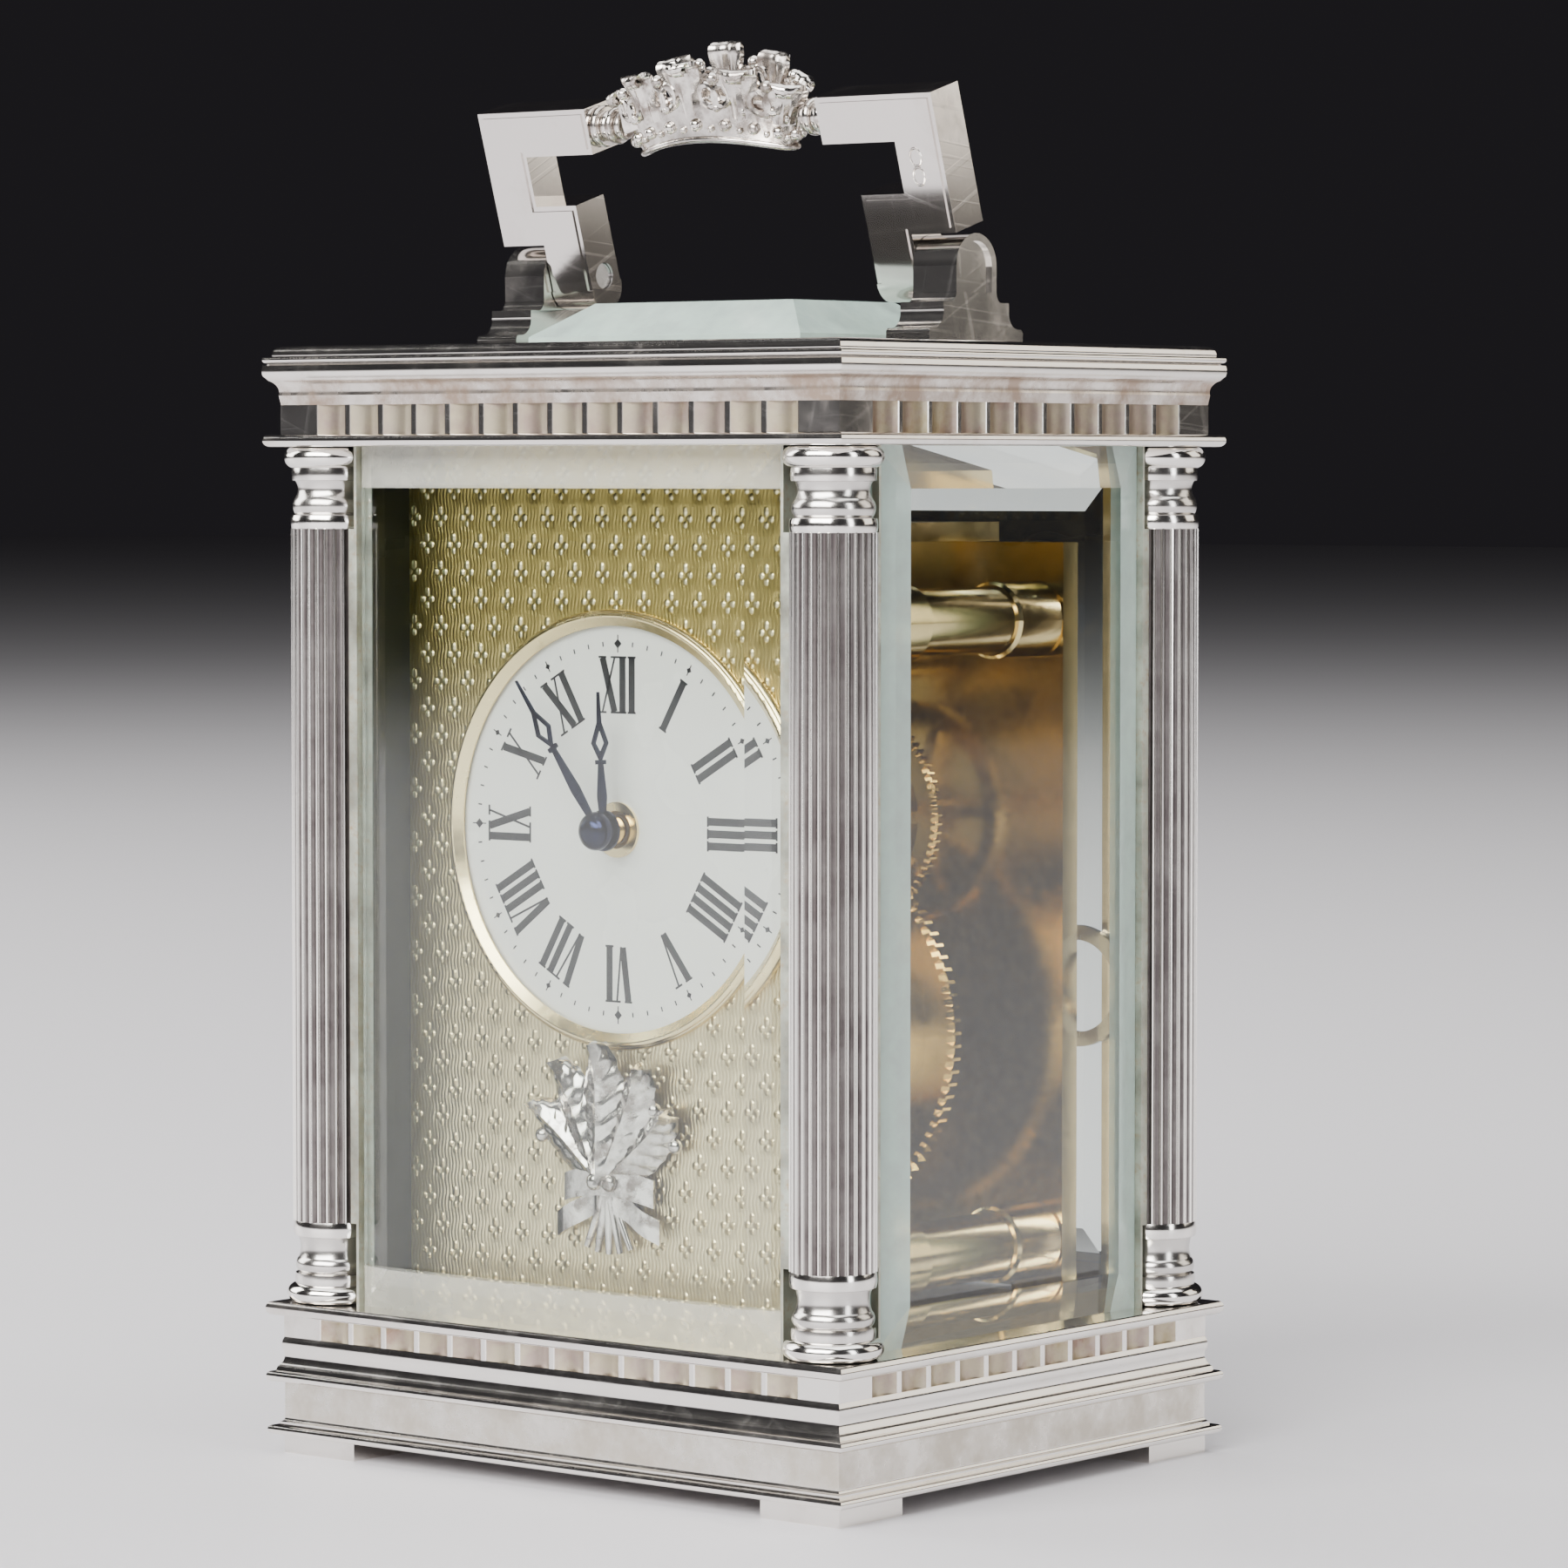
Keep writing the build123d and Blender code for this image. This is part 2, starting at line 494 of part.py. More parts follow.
# ---------------------------------------------------------------- back door
def door_pieces():
    """Glazed back door on two pivot pins, with a small turned knob."""
    low = BASE_PLATE_TOP + DOOR_GAP
    high = CORNICE_BOTTOM - DOOR_GAP
    frame = block((-DOOR_HALF, DOOR_HALF), (DOOR_INNER_Y, DOOR_OUTER_Y), (low, high))
    hinge_edge = frame.edges().filter_by(Axis.Z).group_by(Axis.X)[0].sort_by(Axis.Y)[-1]
    frame = fillet(hinge_edge, 1.3)
    clear = DOOR_HALF - DOOR_RAIL
    frame -= block((-clear, clear), (DOOR_INNER_Y, DOOR_OUTER_Y), (low + DOOR_RAIL, high - DOOR_RAIL))
    seat = clear + 0.8
    frame -= block((-seat, seat), (DOOR_INNER_Y, DOOR_INNER_Y + DOOR_GLASS_THICKNESS),
                   (low + DOOR_RAIL - 0.8, high - DOOR_RAIL + 0.8))
    pins = Part()
    pin_spans = ((BASE_PLATE_TOP - 1.0, BASE_PLATE_TOP + 2.6), (CORNICE_BOTTOM - 2.6, CORNICE_BOTTOM + 1.0))
    for start, end in pin_spans:
        pins += rod_z(DOOR_HINGE_X, DOOR_HINGE_Y, DOOR_PIN_RADIUS, start, end)
        bore = DOOR_PIN_RADIUS + RUNNING_CLEARANCE
        frame -= rod_z(DOOR_HINGE_X, DOOR_HINGE_Y, bore, start - 0.3, end + 0.3)
    nodes["door_frame"] = frame
    nodes["door_pins"] = pins
    gap = FIXED_CLEARANCE
    pane = bevelled_plate(2 * (seat - gap), high - low - 2 * (DOOR_RAIL - 0.8) - 2 * gap,
                          DOOR_GLASS_THICKNESS, 3.0, 0.6)
    turned_out = Plane((0, DOOR_INNER_Y, (low + high) / 2), x_dir=(-1, 0, 0), z_dir=(0, 1, 0))
    nodes["door_glass"] = Location(turned_out) * pane
    knob_x = DOOR_HALF - DOOR_RAIL / 2
    knob = rod_y(knob_x, DIAL_Z, 0.9, DOOR_OUTER_Y, DOOR_OUTER_Y + 0.8)
    knob += rod_y(knob_x, DIAL_Z, 1.5, DOOR_OUTER_Y + 0.8, DOOR_OUTER_Y + 1.7)
    nodes["door_knob"] = knob


# ---------------------------------------------------------------- dial and hands
def hand(reach, cross_bar, lozenge_top, hub, bore):
    """Spade hand pointing up: swelling shank, cross bar, open lozenge and fine tip."""
    shank = make_face(Polyline([(-0.25, 0.9), (-0.5, cross_bar * 0.5), (-0.2, cross_bar), (0.2, cross_bar),
                                (0.5, cross_bar * 0.5), (0.25, 0.9)], close=True))
    middle = (cross_bar + lozenge_top) / 2 - 0.3
    corners = [(0, cross_bar), (-0.95, middle), (0, lozenge_top), (0.95, middle)]
    lozenge = make_face(Polyline(corners, close=True))
    lozenge -= make_face(Polyline([(0, cross_bar + 0.8), (-0.6, middle), (0, lozenge_top - 0.9),
                                   (0.6, middle)], close=True))
    tip = make_face(Polyline([(-0.18, lozenge_top - 0.4), (-0.06, reach), (0.06, reach),
                              (0.18, lozenge_top - 0.4)], close=True))
    bar = Pos(0, cross_bar) * Rectangle(1.1, 0.4)
    return shank + lozenge + tip + bar + Circle(hub) - Circle(bore)


def dial_pieces():
    """Gilt mask on four feet, enamel dial, bezel, collet, badge and hands."""
    middle = (CORNICE_BOTTOM + BASE_PLATE_TOP) / 2
    opening = DIAL_RADIUS + 0.15
    mask = Pos(0, middle) * Rectangle(2 * MASK_HALF, CORNICE_BOTTOM - BASE_PLATE_TOP)
    mask -= Pos(0, DIAL_Z) * Circle(opening)
    mask = front_slab(mask, MASK_FACE_Y, MASK_BACK_Y)
    for x in (-14.0, 14.0):
        for z in (26.0, 84.0):
            mask += rod_y(x, z, 1.2, MASK_BACK_Y, FRONT_PLATE_FRONT)
    nodes["dial_mask"] = mask
    dial = front_slab(Pos(0, DIAL_Z) * (Circle(DIAL_RADIUS) - Circle(2.3)), DIAL_FACE_Y, DIAL_FACE_Y + 1.0)
    nodes["dial_plate"] = dial
    bore = DIAL_RADIUS - 0.2
    ring = [(bore, 0, 0), (20.3, 0, 0), (20.1, 0.55, 0.12), (19.6, 0.75, 0.1), (bore, 0.2, 0)]
    edges = moulded_edge(ring)
    edges.append(Line((DIAL_RADIUS - 0.2, 0.2), (DIAL_RADIUS - 0.2, 0)))
    bezel = revolve(Plane.XZ * make_face(Curve() + edges), axis=Axis.Z)
    facing_front = Plane((0, MASK_FACE_Y, DIAL_Z), x_dir=(1, 0, 0), z_dir=(0, -1, 0))
    nodes["dial_bezel"] = Location(facing_front) * bezel
    collet = Pos(0, DIAL_Z) * (Circle(2.57) - Circle(1.75))
    nodes["dial_collet"] = front_slab(collet, DIAL_FACE_Y - 0.3, DIAL_FACE_Y)

    badge = Pos(0, 25.5) * Rectangle(12.5, 3.6)
    for tilt, length in ((-38, 11.0), (38, 11.0), (0, 13.5)):
        badge += Pos(0, 26.0) * Rot(0, 0, tilt) * Pos(0, length / 2) * Ellipse(2.9, length / 2)
    badge += Pos(0, 23.0) * Ellipse(2.2, 2.8)
    nodes["mask_badge"] = front_slab(badge, MASK_FACE_Y - 1.2, MASK_FACE_Y)

    shape = Pos(0, DIAL_Z) * Rot(0, 0, HOUR_HAND_ANGLE) * hand(12.75, 6.3, 10.4, 1.9, 1.4)
    nodes["hour_hand"] = front_slab(shape, HOUR_HAND_Y, HOUR_HAND_Y + HAND_THICKNESS)
    shape = hand(16.9, 9.3, 13.8, 1.6, PIVOT_RADIUS + FIXED_CLEARANCE)
    shape = Pos(0, DIAL_Z) * Rot(0, 0, MINUTE_HAND_ANGLE) * shape
    nodes["minute_hand"] = front_slab(shape, MINUTE_HAND_Y, MINUTE_HAND_Y + HAND_THICKNESS)
    dome = [(1.75, 0, 0), (1.3, 1.1, 0.2), (0.4, 1.5, 0.1)]
    nut = turned(dome, 0, 0)
    nodes["hand_nut"] = Location(Plane((0, MINUTE_HAND_Y, DIAL_Z), x_dir=(1, 0, 0), z_dir=(0, -1, 0))) * nut


# ---------------------------------------------------------------- movement
def train_places():
    """Centres (x, z) of the wheels, seen from the front."""
    centre = (0.0, DIAL_Z)
    reach = GREAT_MODULE * (GREAT_TEETH + CENTRE_PINION_LEAVES) / 2
    barrel = (BARREL_X, DIAL_Z - sqrt(reach * reach - BARREL_X * BARREL_X))
    reach = CENTRE_MODULE * (CENTRE_TEETH + THIRD_PINION_LEAVES) / 2
    third = (THIRD_X, DIAL_Z + sqrt(reach * reach - THIRD_X * THIRD_X))
    reach = THIRD_MODULE * (THIRD_TEETH + CONTRATE_PINION_LEAVES) / 2
    contrate = (0.0, third[1] + sqrt(reach * reach - THIRD_X * THIRD_X))
    reach = MOTION_MODULE * (CANNON_LEAVES + MINUTE_WHEEL_TEETH) / 2
    minute = (reach, DIAL_Z)
    return {"centre": centre, "barrel": barrel, "third": third, "contrate": contrate, "minute": minute}


PLACES = train_places()


def screw(x, z, face, direction):
    """Cheese-headed screw entering a plate at y = face; direction +1 drives towards +Y."""
    head = sorted((face, face - direction * SCREW_HEAD_HEIGHT))
    tip = sorted((face, face + direction * 4.5))
    body = rod_y(x, z, SCREW_HEAD, head[0], head[1]) + rod_y(x, z, SCREW_SHANK, tip[0], tip[1])
    slot_middle = face - direction * SCREW_HEAD_HEIGHT
    return body - Pos(x, slot_middle, z) * Box(4.0, 0.7, 0.5)


def plates_and_pillars():
    """Front and back plates with pivot holes, four turned pillars and their screws."""
    holes = {"centre": 1.0, "third": PIVOT_RADIUS, "contrate": PIVOT_RADIUS, "barrel": 2.0}
    for name, front, back in (("front_plate", FRONT_PLATE_FRONT, FRONT_PLATE_BACK),
                              ("back_plate", BACK_PLATE_FRONT, BACK_PLATE_BACK)):
        middle = (PLATE_TOP + BASE_PLATE_TOP + 2) / 2
        sketch = Pos(0, middle) * Rectangle(2 * PLATE_HALF_X, PLATE_TOP - BASE_PLATE_TOP - 2)
        for side in (-1, 1):
            sketch += Pos(side * (PLATE_HALF_X - 3), BASE_PLATE_TOP + 1) * Rectangle(6, 2)
            for z in PILLAR_Z:
                sketch -= Pos(side * PILLAR_X, z) * Circle(SCREW_SHANK + FIXED_CLEARANCE)
        for wheel, radius in holes.items():
            sketch -= Pos(*PLACES[wheel]) * Circle(radius + RUNNING_CLEARANCE)
        if name == "front_plate":
            sketch -= Pos(*PLACES["minute"]) * Circle(PIVOT_RADIUS + FIXED_CLEARANCE)
        else:
            sketch -= Pos(*CLICK_PLACE) * Circle(PIVOT_RADIUS + FIXED_CLEARANCE)
        nodes[name] = front_slab(sketch, front, back)

    pillars = Part()
    screws = Part()
    for side in (-1, 1):
        for z in PILLAR_Z:
            x = side * PILLAR_X
            pillar = rod_y(x, z, PILLAR_RADIUS, FRONT_PLATE_BACK, BACK_PLATE_FRONT)
            for start, end in ((FRONT_PLATE_BACK, FRONT_PLATE_BACK + PILLAR_COLLAR_LENGTH),
                               (BACK_PLATE_FRONT - PILLAR_COLLAR_LENGTH, BACK_PLATE_FRONT)):
                collar = rod_y(x, z, PILLAR_COLLAR_RADIUS, start, end)
                pillar += chamfer(collar.edges().filter_by(GeomType.CIRCLE), 0.3)
            for face, direction in ((FRONT_PLATE_FRONT, 1), (BACK_PLATE_BACK, -1)):
                screws += screw(x, z, face, direction)
                ends = sorted((face, face + direction * 5.0))
                pillar -= rod_y(x, z, SCREW_SHANK + FIXED_CLEARANCE, ends[0], ends[1])
            pillars += pillar
    nodes["plate_pillars"] = pillars
    nodes["movement_screws"] = screws


def barrel_pieces():
    """Going barrel with its great wheel, cover, mainspring, arbor and ratchet work."""
    x, z = PLACES["barrel"]
    great_turn, _ = mesh_turns(GREAT_TEETH, CENTRE_PINION_LEAVES, PLACES["barrel"], PLACES["centre"])
    drum_front = -4.0
    floor_front = 9.6
    wheel_front = 10.7
    drum = front_slab(Circle(BARREL_RADIUS) - Circle(BARREL_RADIUS - BARREL_WALL), drum_front, floor_front)
    drum += front_slab(Circle(BARREL_RADIUS) - Circle(1.85), floor_front, wheel_front)
    great = crossed_wheel(GREAT_TEETH, GREAT_MODULE, great_turn, 0, BARREL_RADIUS, GREAT_RIM) - Circle(1.85)
    drum += front_slab(great, wheel_front, wheel_front + 1.3)
    nodes["barrel"] = Pos(x, 0, z) * drum
    cover = front_slab(Circle(BARREL_RADIUS) - Circle(1.85), drum_front - 1.0, drum_front)
    nodes["barrel_cover"] = Pos(x, 0, z) * cover

    inner = []
    outer = []
    coils = 9
    step_count = coils * 24
    for step in range(step_count + 1):
        angle = 2 * pi * coils * step / step_count
        radius = 4.3 + 1.08 * angle / (2 * pi)
        inner.append((radius * cos(angle), radius * sin(angle)))
        outer.append(((radius + 0.3) * cos(angle), (radius + 0.3) * sin(angle)))
    strip = make_face(Polyline(inner + outer[::-1], close=True))
    nodes["mainspring"] = Pos(x, 0, z) * front_slab(strip, drum_front + 0.6, floor_front - 0.6)

    core = 3.6
    arbor = rod_y(0, 0, core, drum_front + 0.3, floor_front - 0.3)
    arbor += rod_y(0, 0, 1.8, drum_front - 1.6, wheel_front + 2.5)
    arbor += rod_y(0, 0, 2.0, FRONT_PLATE_FRONT, drum_front - 1.6)
    arbor += rod_y(0, 0, 2.0, wheel_front + 2.5, BACK_PLATE_BACK + 0.1)
    square = Box(2.6, 2.3, 2.6)
    arbor += Pos(0, BACK_PLATE_BACK + 0.1 + 1.15, 0) * square
    nodes["winding_arbor"] = Pos(x, 0, z) * arbor

    points = []
    for tooth in range(RATCHET_TEETH):
        for offset, radius in ((0.0, 5.3), (0.08, 6.0), (0.16, 6.0)):
            angle = 2 * pi * (tooth + offset) / RATCHET_TEETH
            points.append((radius * cos(angle), radius * sin(angle)))
    disc = make_face(Polyline(points, close=True)) - Rectangle(2.62, 2.62)
    nodes["ratchet_wheel"] = Pos(x, 0, z) * front_slab(disc, BACK_PLATE_BACK + 0.12, BACK_PLATE_BACK + 1.1)

    click_x, click_z = CLICK_PLACE
    nose = (x + 6.12 * cos(radians(60)), z + 6.12 * sin(radians(60)))
    outline = [nose, (nose[0] + 0.9, nose[1] + 1.2), (click_x + 0.5, click_z + 1.2)]
    outline += [(click_x + 1.1, click_z - 0.6), (nose[0] + 0.9, nose[1] - 0.2)]
    lever = make_face(Polyline(outline, close=True))
    lever += Pos(click_x, click_z) * Circle(1.4)
    lever = front_slab(lever, BACK_PLATE_BACK + 0.15, BACK_PLATE_BACK + 1.05)
    lever += rod_y(click_x, click_z, PIVOT_RADIUS, BACK_PLATE_BACK - 1.6, BACK_PLATE_BACK + 1.5)
    nodes["click"] = lever
    spring = Pos(click_x - 4.7, click_z + 3.95) * Circle(1.1)
    spring += Pos(click_x - 1.97, click_z + 2.8) * Rot(0, 0, -22) * Rectangle(6.2, 0.35)
    nodes["click_spring"] = front_slab(spring, BACK_PLATE_BACK, BACK_PLATE_BACK + 0.8)


CLICK_PLACE = (PLACES["barrel"][0] + 9.2, PLACES["barrel"][1] + 7.4)


def arbor(name, wheel_sketch, wheel_y, pinion_sketch, pinion_y, ends):
    """Arbor between the plates carrying one wheel and one pinion; sketches are centred on it."""
    x, z = PLACES[name]
    body = rod_y(0, 0, ARBOR_RADIUS, FRONT_PLATE_BACK + 0.2, BACK_PLATE_FRONT - 0.2)
    body += rod_y(0, 0, PIVOT_RADIUS, ends[0], ends[1])
    body += front_slab(wheel_sketch, wheel_y, wheel_y + WHEEL_THICKNESS)
    body += front_slab(pinion_sketch, pinion_y[0], pinion_y[1])
    return Pos(x, 0, z) * body


def going_train():
    """Centre, third and contrate wheels."""
    centre, third, contrate = (PLACES[name] for name in ("centre", "third", "contrate"))
    centre_turn, third_pinion = mesh_turns(CENTRE_TEETH, THIRD_PINION_LEAVES, centre, third)
    third_turn, contrate_pinion = mesh_turns(THIRD_TEETH, CONTRATE_PINION_LEAVES, third, contrate)
    _, centre_pinion = mesh_turns(GREAT_TEETH, CENTRE_PINION_LEAVES, PLACES["barrel"], PLACES["centre"])

    wheel = crossed_wheel(CENTRE_TEETH, CENTRE_MODULE, centre_turn, 5, 2.6, 1.9)
    pinion = gear_sketch(CENTRE_PINION_LEAVES, GREAT_MODULE, centre_pinion)
    body = arbor("centre", wheel, 14.0, pinion, (9.9, 12.8), (MINUTE_HAND_Y, BACK_PLATE_BACK - 0.4))
    nodes["centre_wheel"] = body

    wheel = crossed_wheel(THIRD_TEETH, THIRD_MODULE, third_turn, 4, 2.2, 1.6)
    pinion = gear_sketch(THIRD_PINION_LEAVES, CENTRE_MODULE, third_pinion)
    ends = (FRONT_PLATE_FRONT + 0.4, BACK_PLATE_BACK - 0.4)
    nodes["third_wheel"] = arbor("third", wheel, 8.4, pinion, (13.3, 15.9), ends)

    hub = Circle(6.9) - Circle(5.2) + Circle(2.0)
    for index in range(4):
        hub += Rot(0, 0, 45 + index * 90) * Pos(3.6, 0) * Rectangle(4.0, 1.0)
    pinion = gear_sketch(CONTRATE_PINION_LEAVES, THIRD_MODULE, contrate_pinion)
    body = arbor("contrate", hub, 1.9, pinion, (7.6, 10.2), ends)
    x, z = PLACES["contrate"]
    crown = Part()
    for tooth in range(CONTRATE_TEETH):
        angle = 90 + tooth * 360 / CONTRATE_TEETH
        leaf = Rot(0, 0, angle) * Pos(CROWN_RADIUS, 0) * Rectangle(0.9, 0.22)
        crown += Pos(x, 0, z) * front_slab(leaf, 2.95, CROWN_TIP_Y)
    nodes["contrate_wheel"] = body + crown


def motion_work():
    """Cannon pinion, minute wheel and hour wheel between the front plate and the dial."""
    centre, minute = PLACES["centre"], PLACES["minute"]
    cannon_turn, minute_turn = mesh_turns(CANNON_LEAVES, MINUTE_WHEEL_TEETH, centre, minute)
    pinion_turn, hour_turn = mesh_turns(MINUTE_PINION_LEAVES, HOUR_WHEEL_TEETH, minute, centre)
    bore = Circle(PIVOT_RADIUS + FIXED_CLEARANCE)
    cannon = front_slab(gear_sketch(CANNON_LEAVES, MOTION_MODULE, cannon_turn) - bore, -12.2, -10.2)
    cannon += front_slab(Circle(0.9) - bore, MINUTE_HAND_Y + HAND_THICKNESS, -12.2)
    nodes["cannon_pinion"] = Pos(0, 0, DIAL_Z) * cannon

    x, z = PLACES["minute"]
    wheel = crossed_wheel(MINUTE_WHEEL_TEETH, MOTION_MODULE, minute_turn, 4, 1.6, 1.2)
    body = front_slab(wheel, -11.8, -10.8)
    body += front_slab(gear_sketch(MINUTE_PINION_LEAVES, MOTION_MODULE, pinion_turn), -14.4, -11.8)
    body += rod_y(0, 0, PIVOT_RADIUS - RUNNING_CLEARANCE, FRONT_PLATE_FRONT + 0.2, -10.8)
    nodes["minute_wheel"] = Pos(x, 0, z) * body

    pipe_bore = 0.9 + RUNNING_CLEARANCE
    wheel = gear_sketch(HOUR_WHEEL_TEETH, MOTION_MODULE, hour_turn) - Circle(pipe_bore)
    body = front_slab(wheel, -14.2, -13.2)
    body += front_slab(Circle(1.4) - Circle(pipe_bore), HOUR_HAND_Y, -14.2)
    nodes["hour_wheel"] = Pos(0, 0, DIAL_Z) * body


# ---------------------------------------------------------------- platform escapement
def up_slab(sketch, z_start, z_end):
    """Extrude a plan sketch (X right, Y back) between two heights."""
    return extrude(Plane.XY.offset(z_start) * sketch, amount=z_end - z_start)


def platform_pieces():
    """Platform, escape wheel, lever, balance, hairspring and cocks."""
    low, high = PLATFORM_Z
    middle_y = sum(PLATFORM_Y) / 2
    plate = Pos(0, middle_y) * Rectangle(2 * PLATFORM_HALF_X, PLATFORM_Y[1] - PLATFORM_Y[0])
    plate -= Pos(0, ESCAPE_Y) * Circle(1.1)
    plate -= Pos(0, LEVER_Y) * Circle(0.3 + RUNNING_CLEARANCE)
    plate -= Pos(0, BALANCE_Y) * Circle(0.3 + RUNNING_CLEARANCE)
    nodes["platform"] = up_slab(plate, low, high)

    points = []
    for tooth in range(ESCAPE_TEETH):
        for offset, radius in ((0.0, 2.5), (0.30, 3.4), (0.42, 3.4), (0.5, 2.5)):
            angle = 2 * pi * (tooth + offset) / ESCAPE_TEETH
            points.append((radius * cos(angle), radius * sin(angle)))
    disc = make_face(Polyline(points, close=True))
    for index in range(4):
        disc -= Rot(0, 0, 45 + index * 90) * Pos(1.55, 0) * Circle(0.5)
    leaves = gear_sketch(ESCAPE_PINION_LEAVES, CONTRATE_MODULE, 270 + 180 / ESCAPE_PINION_LEAVES)
    body = up_slab(disc, 89.2, 89.6)
    body += up_slab(Circle(0.4), 82.0, 91.0)
    body += up_slab(leaves, PLACES["contrate"][1] + 5.2, 82.0)
    body += up_slab(Circle(0.25), PLACES["contrate"][1] + 4.6, 92.2)
    nodes["escape_wheel"] = Pos(0, ESCAPE_Y, 0) * body

    lever = Pos(0, 1.2) * Rectangle(0.7, 4.0) + Circle(0.8)
    for side in (-1, 1):
        lever += Pos(side * 1.3, -0.45) * Rot(0, 0, side * 12) * Rectangle(2.6, 0.55)
        lever += Pos(side * 2.75, -1.0) * Rot(0, 0, -side * 20) * Rectangle(0.5, 1.4)
        lever += Pos(side * 0.45, 3.0) * Rectangle(0.35, 0.7)
    body = up_slab(lever, 89.2, 89.8) + up_slab(Circle(0.3), low + 0.3, 91.6)
    nodes["pallet_lever"] = Pos(0, LEVER_Y, 0) * body

    rim = Circle(BALANCE_RADIUS) - Circle(BALANCE_RADIUS - 0.8) + Rectangle(2 * BALANCE_RADIUS - 0.8, 0.8)
    body = up_slab(rim + Circle(1.0), 92.0, 92.9)
    body += up_slab(Circle(0.3), low + 0.3, 96.6)
    body += up_slab(Circle(0.95), 90.2, 90.7)
    for index in range(12):
        angle = radians(15 + index * 30)
        stud = Plane((5.3 * cos(angle), 5.3 * sin(angle), 92.45), z_dir=(cos(angle), sin(angle), 0))
        body += extrude(stud * Circle(0.33), amount=0.75)
    nodes["balance_wheel"] = Pos(0, BALANCE_Y, 0) * body

    inner = []
    outer = []
    coils = 7
    step_count = coils * 20
    for step in range(step_count + 1):
        angle = 2 * pi * coils * step / step_count
        radius = 0.75 + 0.32 * angle / (2 * pi)
        inner.append((radius * cos(angle), radius * sin(angle)))
        outer.append(((radius + 0.1) * cos(angle), (radius + 0.1) * sin(angle)))
    coil = up_slab(make_face(Polyline(inner + outer[::-1], close=True)), 94.0, 94.4)
    coil += up_slab(Circle(0.8) - Circle(0.3 + FIXED_CLEARANCE), 93.9, 94.5)
    nodes["hairspring"] = Pos(0, BALANCE_Y, 0) * coil

    cocks = Part()
    bridge = block((-6.8, 6.8), (BALANCE_Y - 1.6, BALANCE_Y + 1.6), (95.2, 96.4))
    bridge += block((-9.8, -6.6), (BALANCE_Y - 1.6, BALANCE_Y + 1.6), (high, 96.4))
    bridge -= rod_z(0, BALANCE_Y, 0.3 + RUNNING_CLEARANCE, 95.0, 96.5)
    cocks += bridge
    small = block((5.0, 8.0), (ESCAPE_Y - 1.4, ESCAPE_Y + 1.4), (high, 91.8))
    small += block((-1.3, 8.0), (ESCAPE_Y - 1.2, ESCAPE_Y + 1.2), (91.1, 91.8))
    small -= rod_z(0, ESCAPE_Y, 0.25 + RUNNING_CLEARANCE, 91.0, 92.0)
    cocks += small
    potence = block((-1.0, 1.0), (4.25, 7.2), (77.5, 78.7)) + block((-1.0, 1.0), (6.0, 7.2), (77.5, low))
    potence -= rod_z(0, ESCAPE_Y, 0.25 + RUNNING_CLEARANCE, 78.0, 78.8)
    cocks += potence
    nodes["platform_cocks"] = cocks


def door_ring():
    """Round steel spring ring on the back plate, beside the door."""
    x, y, z = 20.2, 23.65, 44.0
    ring = Pos(x, z) * (Circle(5.8) - Circle(4.4))
    body = front_slab(ring, y, y + 0.65)
    body += rod_y(x - 5.1, z, 0.5, BACK_PLATE_BACK, y + 0.3)
    nodes["door_ring"] = body


base_pieces()
cornice_pieces()
upright_pieces()
top_glass()
handle_pieces()
door_pieces()
dial_pieces()
plates_and_pillars()
barrel_pieces()
going_train()
motion_work()
platform_pieces()
door_ring()

os.makedirs("parts", exist_ok=True)
for name, shape in nodes.items():
    export_step(shape, f"parts/{name}.step")
print(len(nodes), "pieces written")
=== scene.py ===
# %% [markdown]
# # A small silver carriage clock
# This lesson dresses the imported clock: every metal gets its own wear, the panes become bevelled
# glass, and the pieces that a lathe or an extrusion can't give (the leafy crest, the leaf badge,
# the painted figures) are modelled here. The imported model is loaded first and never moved.

# %% Load the clock and keep its size
from math import atan2, cos, pi, radians, sin, sqrt

import bmesh
import bpy
from mathutils import Matrix, Vector


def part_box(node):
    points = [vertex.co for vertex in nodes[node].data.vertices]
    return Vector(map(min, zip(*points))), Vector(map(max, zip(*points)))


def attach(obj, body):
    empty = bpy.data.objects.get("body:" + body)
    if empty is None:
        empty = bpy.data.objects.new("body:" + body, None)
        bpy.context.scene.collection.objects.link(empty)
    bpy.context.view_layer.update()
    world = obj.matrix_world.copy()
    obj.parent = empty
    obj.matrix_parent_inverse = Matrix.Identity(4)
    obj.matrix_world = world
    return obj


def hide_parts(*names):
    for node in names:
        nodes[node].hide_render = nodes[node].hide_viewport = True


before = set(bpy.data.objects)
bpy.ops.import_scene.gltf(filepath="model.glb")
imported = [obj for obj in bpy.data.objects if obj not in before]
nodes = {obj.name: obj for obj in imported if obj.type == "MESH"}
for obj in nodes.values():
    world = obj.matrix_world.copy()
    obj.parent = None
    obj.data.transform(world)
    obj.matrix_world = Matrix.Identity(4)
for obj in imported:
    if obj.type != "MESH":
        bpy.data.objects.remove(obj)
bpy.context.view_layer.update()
MM = 0.001
print("pieces loaded:", len(nodes))

# %% [markdown]
# ## Camera
# The clock stands turned to show its dial and its right side, seen from a little above the
# middle with a long lens, so that the uprights stay almost parallel. A camera with no turn looks
# straight down, so it is first tipped up to the horizon and then a little below it.

